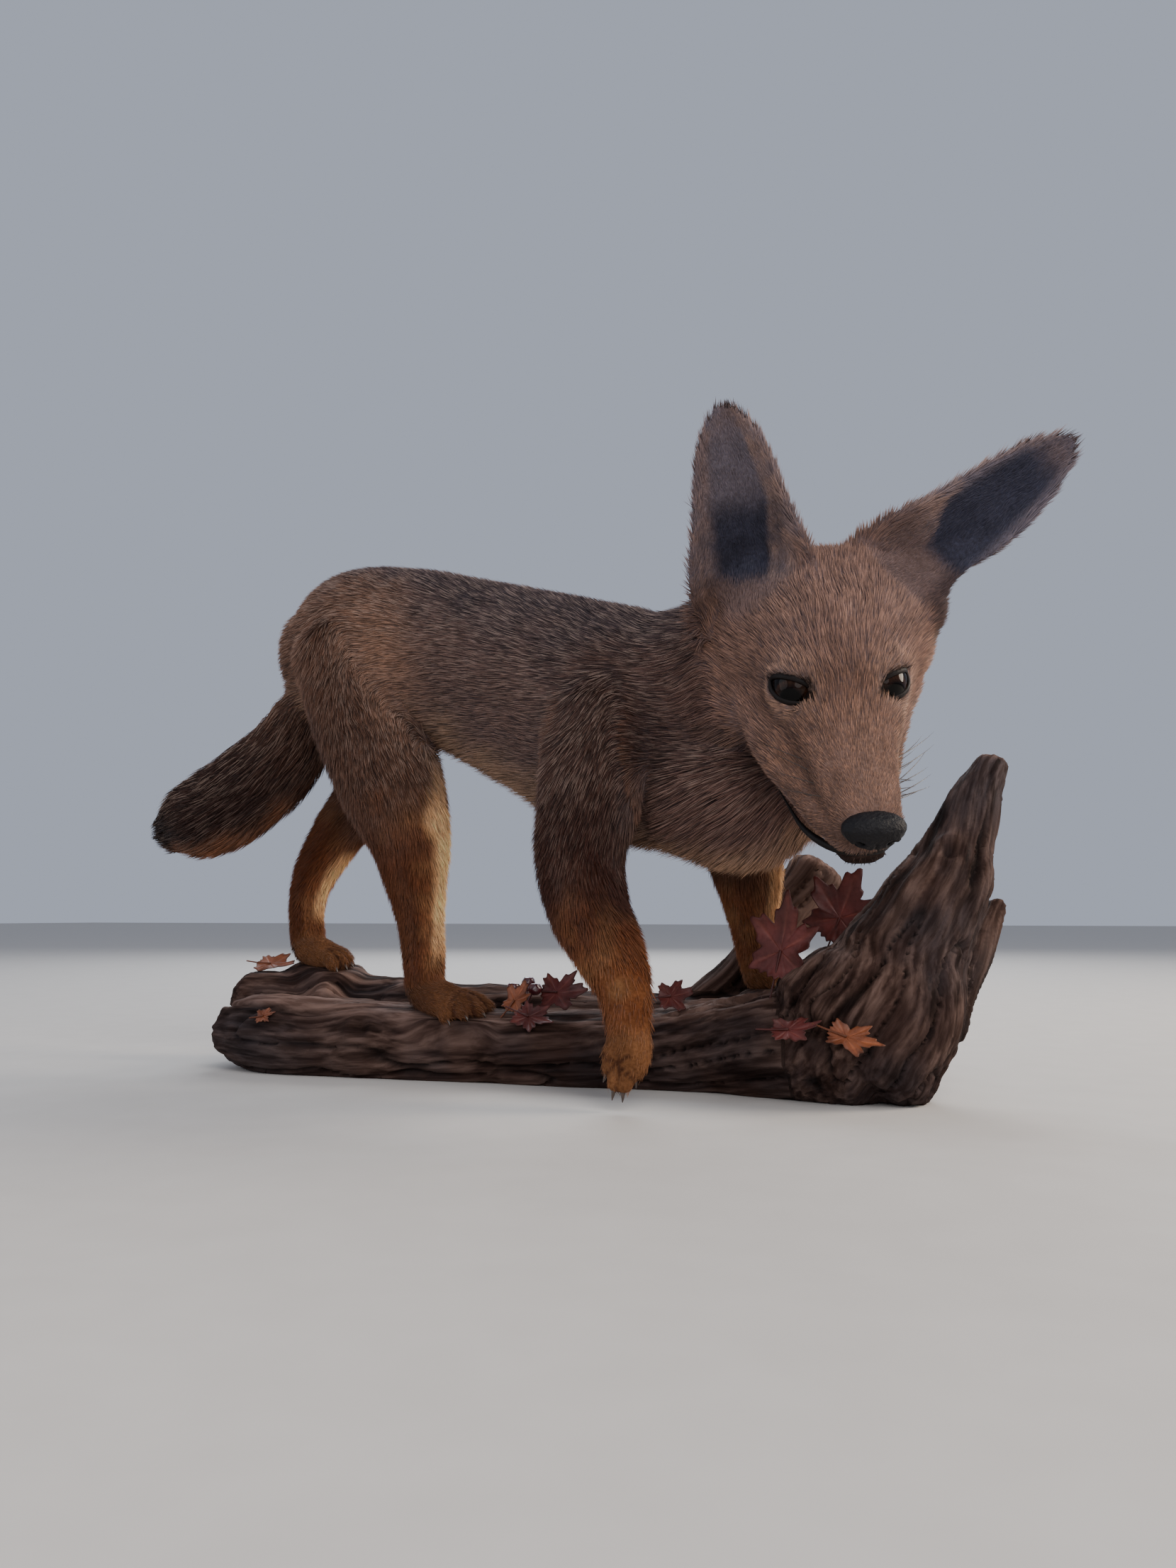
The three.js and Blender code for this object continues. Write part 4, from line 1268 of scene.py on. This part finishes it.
def strand(points, radii, sides=6):
    """A closed tapered tube through places."""
    rows = [[*p, r, r] for p, r in zip(points, radii)]
    side = unit(np.cross(np.asarray(points[-1]) - np.asarray(points[0]), [0.31, 0.2, 0.93]))
    return Form(rows, side, count=max(6, 3 * len(rows))).shape(sides, domes=2)


def lid_line(side, samples=64):
    """The edge of the opening of the lids, as places just outside the eyeball."""
    gaze, outward, above = lid_axes(side)
    turn = np.linspace(0, 2 * np.pi, samples, endpoint=False)
    a = -LID_REACH * np.cos(turn)
    top, bottom = lid_edges(a)
    b = np.where(np.sin(turn) > 0, top, bottom)
    ahead, aside = np.cos(b) * np.cos(a), np.cos(b) * np.sin(a)
    d = ahead[:, None] * gaze + aside[:, None] * outward + np.sin(b)[:, None] * above
    return from_head(EYES[side] + d * (EYE_RADIUS + 0.35))


def build_lids():
    """Dark rims that lie round each eye."""
    shapes = []
    turn = np.linspace(0, 2 * np.pi, 10, endpoint=False)
    sides = len(turn)
    for side in EYES:
        line = lid_line(side)
        count = len(line)
        ahead = unit(np.roll(line, -1, axis=0) - np.roll(line, 1, axis=0))
        out = unit(line - from_head(EYES[side]))
        across = np.cross(out, ahead)
        rings = [line + across * 1.35 * np.cos(a) + out * 0.85 * np.sin(a) for a in turn]
        at = lambda i, k: (i % count) * sides + k % sides
        faces = []
        for i, k in np.ndindex(count, sides):
            faces.append([at(i, k), at(i, k + 1), at(i + 1, k + 1), at(i + 1, k)])
        shapes.append((np.stack(rings, axis=1).reshape(-1, 3), faces))
    finish_piece(mesh_object("eye_rims", *joined(shapes), lip_material()), "nose")


def build_nose():
    """The bare nose pad, with its nostrils, the wings over them and the groove below."""
    verts, faces = ball([0, 0, 0], [1, 1, 1], rings=80, sides=96)
    y, z = verts[:, 1].copy(), verts[:, 2].copy()
    verts[:, 1] *= 1 - 0.46 * ramp(z, 0.25, -1.0)
    verts[:, 2] = np.sign(z) * np.abs(z) ** np.where(z > 0, 0.72, 0.95)
    out = unit(verts)
    sink = np.zeros(len(verts))
    for side in (1, -1):
        hole = np.sqrt(((out[:, 1] - side * 0.50) / 0.17) ** 2 + ((out[:, 2] + 0.12) / 0.20) ** 2)
        slit = np.sqrt(((out[:, 1] - side * 0.78) / 0.22) ** 2 + ((out[:, 2] + 0.34) / 0.085) ** 2)
        front = out[:, 0] > -0.2
        sink += front * (0.34 * ramp(hole, 1.15, 0.4) + 0.20 * ramp(slit, 1.2, 0.5))
        sink -= front * 0.05 * np.exp(-((hole - 1.45) / 0.3) ** 2)
    sink += 0.09 * np.exp(-((out[:, 1] / 0.06) ** 2)) * ramp(out[:, 2], 0.25, -0.15) * (out[:, 0] > 0)
    verts = verts * (1 - sink)[:, None] * NOSE_SIZES
    verts += unit(verts) * (0.16 * noise(verts, 1.1, 70))[:, None]
    finish_piece(mesh_object("nose_pad", from_head(verts + NOSE_AT), faces, nose_material()), "nose", "nose")


def build_lips():
    """The dark edges of the upper lips, from under the nose to the corners of the mouth."""
    shapes = []
    for side in (1, -1):
        line = [from_head(np.array([x, side * y, z]) + muzzle_shift(x)) for x, y, z in MOUTH_LINE]
        shapes.append(strand(line, [1.5, 1.7, 1.7, 1.2, 0.5, 0.25], 8))
    under_nose = [from_head(p) for p in ([80.5, 0, -19], [79, 0, -24], [78, 0, -29])]
    shapes.append(strand(under_nose, [1.5, 1.3, 1.3], 8))
    finish_piece(mesh_object("lip_edges", *joined(shapes), lip_material()), "nose")


def build_whiskers():
    """Stiff dark hairs in rows on the whisker pads, and a few over the eyes."""
    shapes = []
    for side in (1, -1):
        for row, k in np.ndindex(4, 4):
            root = np.array([62 - 7 * k - 1.5 * row, side * (13.2 + 0.9 * k - 0.6 * row), -14 - 3.3 * row])
            ahead = np.array([-0.55 - 0.08 * k, side * (0.95 - 0.12 * row), -0.05 - 0.18 * row])
            ahead = unit(ahead + RANDOM.normal(0, 0.10, 3))
            long = 19 + 5 * k + 5 * RANDOM.random()
            droop = np.array([-0.18, -side * 0.10, -0.16]) * long
            line = [from_head(root + ahead * long * s + droop * s * s) for s in (0, 0.35, 0.7, 1)]
            shapes.append(strand(line, [0.27, 0.22, 0.14, 0.03], 4))
        for k in range(3):
            root = np.array([2 + 3 * k, side * (14 + 2.5 * k), 12 - 1.5 * k])
            line = [from_head(root + np.array([0.2, side * 0.4, 0.9]) * s) for s in (0, 5, 10, 14)]
            shapes.append(strand(line, [0.13, 0.10, 0.07, 0.03], 4))
    finish_piece(mesh_object("whiskers", *joined(shapes), claw_material()), "claw")


def build_claws():
    shapes = []
    for foot in FEET.values():
        start = np.array(foot["ankle"], float)
        for tip in np.array(foot["tips"], float):
            ahead = unit(tip - start)
            steps = (-0.15, 0.4, 0.75, 1.0)
            line = [tip + ahead * CLAW["long"] * s - UP * CLAW["drop"] * s * s for s in steps]
            radii = CLAW["thick"] * np.array([1.0, 0.85, 0.55, 0.18])
            shapes.append(strand([p + UP * 0.4 for p in line], radii, 10))
    finish_piece(mesh_object("claws", *joined(shapes), claw_material()), "claw")


# ---- driftwood

WOOD = {
    "near_ridge": [
        [-214, -15, 22, 14, 17], [-180, -20, 20, 18, 22], [-100, -12, 17, 18, 20], [-20, -6, 16, 19, 20],
        [50, 2, 18, 20, 21], [104, -4, 24, 24, 27], [142, -10, 26, 26, 30],
    ],
    "far_ridge": [
        [-232, 20, 36, 15, 18], [-181, 34, 30, 20, 22], [-73, 38, 26, 22, 21], [34, 46, 24, 22, 20],
        [96, 44, 24, 24, 24],
    ],
    "core": [
        [-212, 6, 20, 24, 20], [-100, 14, 16, 30, 20], [0, 20, 15, 34, 20], [100, 18, 20, 36, 26],
        [148, 0, 22, 30, 28],
    ],
    "main_limb": [
        [138, -8, 28, 32, 44], [157, -2, 52, 28, 36], [164, 2, 70, 24, 29], [174, 6, 90, 20, 24],
        [183, 12, 107, 17, 21], [189, 19, 124, 14, 16], [196, 25, 142, 12, 13], [204, 29, 162, 8, 8],
    ],
    "rear_limb": [[45, 50, 28, 18, 16], [68, 58, 52, 15, 13], [91, 70, 84, 14, 15], [108, 80, 110, 12, 16]],
    "spur": [[182, 4, 34, 10, 7], [191, 20, 56, 8, 5.5], [198, 36, 76, 7, 5], [204, 47, 93, 5.5, 5]],
}
WOOD_VOXEL = 1.9
WOOD_DARK = [0.007, 0.004, 0.0035]
WOOD_BROWN = [0.036, 0.019, 0.015]
WOOD_PALE = [0.120, 0.075, 0.060]
WOOD_GREY = [0.034, 0.027, 0.029]
LIMB_GREY = [0.045, 0.040, 0.045]
KNOTS = ([150, -40, 60], [10, -24, 22], [186, 0, 118], [-120, -30, 26])
SOLE_UNDER_TOE = 3.2
SOLE_UNDER_ANKLE = 9.0


def rise_to_soles(verts, normal):
    """How far the top of the wood rises to meet the soles of the three feet that stand on it."""
    rise = np.zeros(len(verts))
    for name in ("hind_right", "hind_left", "front_left"):
        tips, ankle = np.array(FEET[name]["tips"], float), np.array(FEET[name]["ankle"], float)
        ground = np.concatenate([tips - SOLE_UNDER_TOE * UP, [ankle - SOLE_UNDER_ANKLE * UP]])
        plane = np.column_stack([ground[:, :2], np.ones(len(ground))])
        slope = np.linalg.lstsq(plane, ground[:, 2], rcond=None)[0]
        sole = verts[:, :2] @ slope[:2] + slope[2]
        marks = np.concatenate([ankle + (tips - ankle) * t for t in np.linspace(0, 1, 5)])
        near = length(verts[:, None, :2] - marks[None, :, :2]).min(axis=1)
        rise = np.maximum(rise, np.clip(sole - verts[:, 2], 0, 9) * ramp(near, 18, 6))
    return rise * ramp(normal[:, 2], 0.05, 0.45)


def build_driftwood():
    """Weathered wood with long furrows, cracks and knots along each limb, flat where it lies."""
    forms = [Form(rows, count=60) for rows in WOOD.values()]
    verts, quads = remeshed([form.shape(44, bulge=0.5, domes=3) for form in forms], WOOD_VOXEL)
    verts = relaxed(verts, quads, 4)
    normal = normals_of(verts, quads)
    axes = ("centre", "tangent", "across", "over")
    place, tangent, across, over = [np.concatenate([getattr(form, key) for form in forms]) for key in axes]
    reach = np.concatenate([(form.wide + form.deep) / 2 for form in forms])
    along = np.concatenate([form.along + 900 * k for k, form in enumerate(forms)])
    nearest = np.concatenate([np.argmin(gap, axis=1) for _, gap in gaps_to(place, reach, verts)])
    off = verts - place[nearest]
    s = along[nearest] + dots(off, tangent[nearest])
    a = dots(off, across[nearest])
    b = dots(off, over[nearest])
    twist = s * 0.004
    a, b = a * np.cos(twist) - b * np.sin(twist), a * np.sin(twist) + b * np.cos(twist)
    warp = noise(verts, 30, 5) * 3
    grain = np.stack([s * 0.07 + warp * 0.3, a + warp, b + warp], axis=1)
    furrow = 1 - np.abs(noise(grain, 7.5, 60)) * 2
    fibre = 1 - np.abs(noise(grain * [1.6, 1, 1], 2.6, 61)) * 2
    lumps = noise(verts, 24, 62)
    crack = ramp(np.abs(noise(grain * [0.7, 1, 1], 13, 63)), 0.055, 0.0)
    lift = 1.3 * furrow + 0.55 * fibre + 1.6 * lumps - 3.6 * crack
    for knot in KNOTS:
        gap = length(verts - np.array(knot))
        lift += 2.2 * np.exp(-((gap - 7) / 3) ** 2) - 3.0 * np.exp(-((gap / 4) ** 2))
    verts = verts + normal * (lift - 0.3)[:, None]
    verts[:, 2] += rise_to_soles(verts, normal)
    verts[:, 2] = np.maximum(verts[:, 2], 0)
    streak = noise(grain * [0.5, 1, 1], 1.7, 65)
    height = furrow * 0.5 + fibre * 0.3 + streak * 0.45
    shade = layered(
        WOOD_BROWN,
        (WOOD_PALE, ramp(height, 0.15, 0.85) * 0.75),
        (WOOD_DARK, ramp(height, 0.05, -0.55)),
        (WOOD_DARK, 0.9 * crack),
        (WOOD_GREY, 0.5 * ramp(noise(verts, 38, 64), 0.0, 0.6)),
        (LIMB_GREY, 0.55 * ramp(verts[:, 2], 112, 150) * (verts[:, 0] > 150)),
        (WOOD_PALE, 0.7 * ramp(verts[:, 2], 30, 70) * ramp(verts[:, 1], 42, 56)),
        # Paler on up-facing tops: partly sun-bleached wood, partly painted light.
        (np.multiply(WOOD_PALE, 1.8), 0.6 * ramp(normal[:, 2], 0.45, 0.9) * ramp(height, -0.1, 0.5)),
    )
    piece = mesh_object("driftwood_limbs", verts, quads, wood_material(), shade * 1.3)
    layer = piece.data.attributes.new("Grain", "FLOAT_VECTOR", "POINT")
    fibres = np.stack([s * 0.09 + warp, a + warp, b + warp], axis=1) * MM
    layer.data.foreach_set("vector", fibres.astype(np.float32).ravel())
    finish_piece(piece, "wood", "driftwood")


# ---- leaves and berries

RED = [0.118, 0.022, 0.018]
RUST = [0.230, 0.068, 0.026]
LEAVES = [
    dict(at=[-224, 31, 57], face=[0.1, -0.4, 0.9], tip=[1, 0.2, 0], long=19, broad=15, bend=0.25, shade=RUST),
    dict(at=[-178, -37, 32], face=[0, -0.9, 0.4], tip=[1, 0, 0.3], long=9, broad=6, bend=0.1, shade=RUST),
    dict(at=[-20, 5, 46], face=[0.1, -0.8, 0.6], tip=[1, 0, 0.1], long=20, broad=17, bend=0.3, shade=RED),
    dict(at=[-38, -10, 42], face=[-2, -8, 5], tip=[0.2, -0.2, 1], long=14, broad=12, bend=0.2, shade=RUST),
    dict(at=[-26, -19, 35], face=[0.1, -0.7, 0.7], tip=[1, 0, -0.4], long=17, broad=13, bend=0.3, shade=RED),
    dict(at=[46, -2, 46], face=[0.1, -0.8, 0.5], tip=[1, 0, 0.3], long=14, broad=13, bend=0.25, shade=RED),
    dict(at=[106, -14, 70], face=[-0.1, -1, 0.1], tip=[0.2, 0, 1], long=31, broad=23, bend=0.3, shade=RED),
    dict(at=[129, 22, 86], face=[-0.1, -1, 0.1], tip=[0.4, 0, 1], long=30, broad=27, bend=0.2, shade=RED),
    dict(at=[114, -39, 35], face=[0, -0.8, 0.5], tip=[1, 0, 0.1], long=18, broad=9, bend=0.4, shade=RED),
    dict(at=[141, -42, 33], face=[0, -0.8, 0.5], tip=[1, 0, -0.4], long=20, broad=10, bend=0.4, shade=RUST),
]
LOBES = ((0, 1.0, 0.56), (1.0, 0.92, 0.52), (-1.0, 0.92, 0.52), (2.05, 0.74, 0.50), (-2.05, 0.74, 0.50))
LEAF_THICK = 0.45


def build_leaf(name, at, face, tip, long, broad, bend, shade, material):
    """A dry lobed leaf with raised veins, curled along its edge, and a short stalk."""
    seed = int(name.split("_")[1]) * 17
    normal = unit(np.asarray(face, float))
    ahead = unit(np.asarray(tip, float) - normal * np.dot(tip, normal))
    across = np.cross(normal, ahead)
    rings, sides = 12, 120
    angle = np.linspace(-np.pi, np.pi, sides, endpoint=False)
    edge = np.full(sides, 0.46)
    vein = np.zeros(sides)
    for turn, reach, width in LOBES:
        gap = np.abs(angle - turn)
        edge = np.maximum(edge, 0.46 + (reach - 0.46) * np.clip(1 - gap / width, 0, 1) ** 0.85)
        vein = np.maximum(vein, np.exp(-((gap / 0.07) ** 2)))
    edge *= 1 - 0.16 * np.abs(np.sin(angle * 9 + seed)) ** 1.5 * np.clip(edge * 1.4, 0, 1)
    flat = [[[0, 0, 0]]]
    for k in range(1, rings + 1):
        r = edge * k / rings
        x, y = r * np.cos(angle) * long, r * np.sin(angle) * broad
        flat.append(np.stack([x, y, np.full(sides, k / rings)], axis=1))
    flat = np.concatenate(flat)
    out = flat[:, 2]
    wave = noise(flat * [1, 1, 0] + seed, 8, 80)
    cup = bend * (flat[:, 0] ** 2 + flat[:, 1] ** 2) / long
    rise = cup * 0.8 + 1.5 * wave * out + 0.9 * np.sin(3 * np.arctan2(flat[:, 1], flat[:, 0]) + seed) * out**3
    veins = np.concatenate([[1.0], np.tile(vein, rings)]) * np.clip(1.4 - out, 0, 1)
    rise = rise - 0.35 * veins
    sheet = at + ahead * flat[:, :1] + across * flat[:, 1:2] + normal * rise[:, None]
    top, low = sheet + normal * LEAF_THICK / 2, sheet - normal * LEAF_THICK / 2
    count = len(sheet)
    spot = lambda k, j: 1 + (k - 1) * sides + j % sides
    faces = []
    for j in range(sides):
        faces += [[0, spot(1, j), spot(1, j + 1)], [count, count + spot(1, j + 1), count + spot(1, j)]]
        for k in range(1, rings):
            ring = [spot(k, j), spot(k + 1, j), spot(k + 1, j + 1), spot(k, j + 1)]
            faces += [ring, [count + i for i in ring[::-1]]]
        faces.append([spot(rings, j), count + spot(rings, j), count + spot(rings, j + 1), spot(rings, j + 1)])
    shade = np.asarray(shade)
    tone = layered(
        shade,
        (shade * 1.7 + [0.05, 0.03, 0.02], 0.6 * veins),
        (shade * 0.45, 0.6 * ramp(out, 0.82, 1.0)),
    )
    tone = tone * (1 + 0.35 * noise(flat * [1, 1, 0] + seed, 5, 81))[:, None]
    under = tone * 0.8 + [0.05, 0.035, 0.028]
    stalk_line = [at - ahead * s * long + normal * (0.6 + 2 * s * s) for s in (0, 0.4, 0.8)]
    stalk, stalk_faces = strand(stalk_line, [0.7, 0.5, 0.45], 6)
    verts, faces = joined([(np.concatenate([top, low]), faces), (stalk, stalk_faces)])
    tints = np.concatenate([tone, under, np.broadcast_to(shade * 0.6, stalk.shape)])
    finish_piece(mesh_object(f"dry_{name}", verts, faces, material, tints), "leaf", name)


BERRIES = [[-44, 2, 48], [-37, 6, 51], [-31, 1, 48]]
BERRY_RADIUS = 3.6
BERRY_FOOT = [-38, 3, 34.5]


def build_berry(number, centre, material):
    verts, faces = ball([0, 0, 0], [1, 1, 1], rings=24, sides=32)
    dents = 0.09 * noise(verts + number * 3, 0.5, 90) - 0.25 * np.exp(-((verts[:, 2] - 1) / 0.14) ** 2)
    verts = verts * (1 + dents)[:, None] * BERRY_RADIUS + np.asarray(centre)
    bow = np.add(centre, BERRY_FOOT) / 2 + 1.5 * UP
    shapes = [(verts, faces), strand([centre, bow, BERRY_FOOT], [0.6, 0.5, 0.7])]
    finish_piece(mesh_object(f"dry_berry_{number}", *joined(shapes), material), "berry", f"berry_{number}")


# ---- camera, floor and light

CAMERA_AT = np.array([228.6, -586.2, 88.0])
CAMERA_RIGHT = [0.9317, 0.3633, 0.0]
CAMERA_UP = [0.0399, -0.1022, 0.9940]
CAMERA_AHEAD = [-0.3611, 0.9261, 0.1097]
IMAGE_HEIGHT = 2212
FOCAL_PIXELS = 1661
SENSOR = 36.0
FLOOR_REACH = 9000
LIGHT_TARGET = np.array([0.0, 0.0, 0.15])


def put(name, data, right, up, back, place):
    """A camera or lamp at a place in metres, with its own axes."""
    made = bpy.data.objects.new(name, data)
    axes = np.eye(4)
    axes[:3] = np.column_stack([right, up, back, place])
    made.matrix_world = Matrix(axes.tolist())
    bpy.context.scene.collection.objects.link(made)
    return made


def build_camera():
    data = bpy.data.cameras.new("camera")
    data.sensor_fit = "AUTO"
    data.sensor_width = SENSOR
    data.lens = FOCAL_PIXELS / IMAGE_HEIGHT * SENSOR
    data.clip_start = 0.01
    back = [-c for c in CAMERA_AHEAD]
    bpy.context.scene.camera = put("camera", data, CAMERA_RIGHT, CAMERA_UP, back, CAMERA_AT * MM)


def build_floor():
    shader = Shader("studio_floor", Roughness=0.8, Specular_IOR_Level=0.2)
    speckle = shader.noise(40.0, 6.0)
    shader.colour(shader.mix(speckle, (0.52, 0.49, 0.46), (0.58, 0.55, 0.52)))
    corners = np.array([[-1, -1, 0], [1, -1, 0], [1, 1, 0], [-1, 1, 0]]) * FLOOR_REACH
    floor = mesh_object("floor", corners, np.array([[0, 1, 2, 3]]), shader.material)


def area_light(name, place, size, power, colour):
    data = bpy.data.lights.new(name, "AREA")
    data.shape = "DISK"
    data.size = size
    data.energy = power
    data.color = colour
    aim = unit(LIGHT_TARGET - np.asarray(place))
    right = unit(np.cross(aim, UP))
    put(name, data, right, np.cross(right, aim), -aim, place)


def build_light():
    world = bpy.data.worlds.new("studio")
    world.use_nodes = True
    backdrop = world.node_tree.nodes["Background"]
    backdrop.inputs["Color"].default_value = (0.70, 0.77, 0.93, 1)
    backdrop.inputs["Strength"].default_value = 0.55
    bpy.context.scene.world = world
    area_light("back_soft", (-0.5, 1.5, 1.3), 1.5, 26, (0.90, 0.95, 1.0))
    area_light("side_warm", (1.4, 0.5, 0.8), 0.7, 22, (1.0, 0.86, 0.70))
    area_light("key_soft", (1.0, -1.0, 1.4), 1.3, 17, (1.0, 0.96, 0.92))
    area_light("fill_soft", (-1.2, -1.0, 0.5), 1.3, 5, (0.96, 0.97, 1.0))
    area_light("low_soft", (0.6, -1.3, 0.5), 0.8, 4, (1.0, 0.96, 0.94))


build_camera()
build_floor()
build_light()
build_driftwood()
leaf_look = leaf_material()
for number, leaf in enumerate(LEAVES, 1):
    build_leaf(f"leaf_{number}", material=leaf_look, **leaf)
berry_look = berry_material()
for number, centre in enumerate(BERRIES, 1):
    build_berry(number, centre, berry_look)
build_animal()
eye_look = eye_material()
build_eye("eye_left", 1, eye_look)
build_eye("eye_right", -1, eye_look)
build_lids()
build_nose()
build_lips()
build_whiskers()
build_claws()
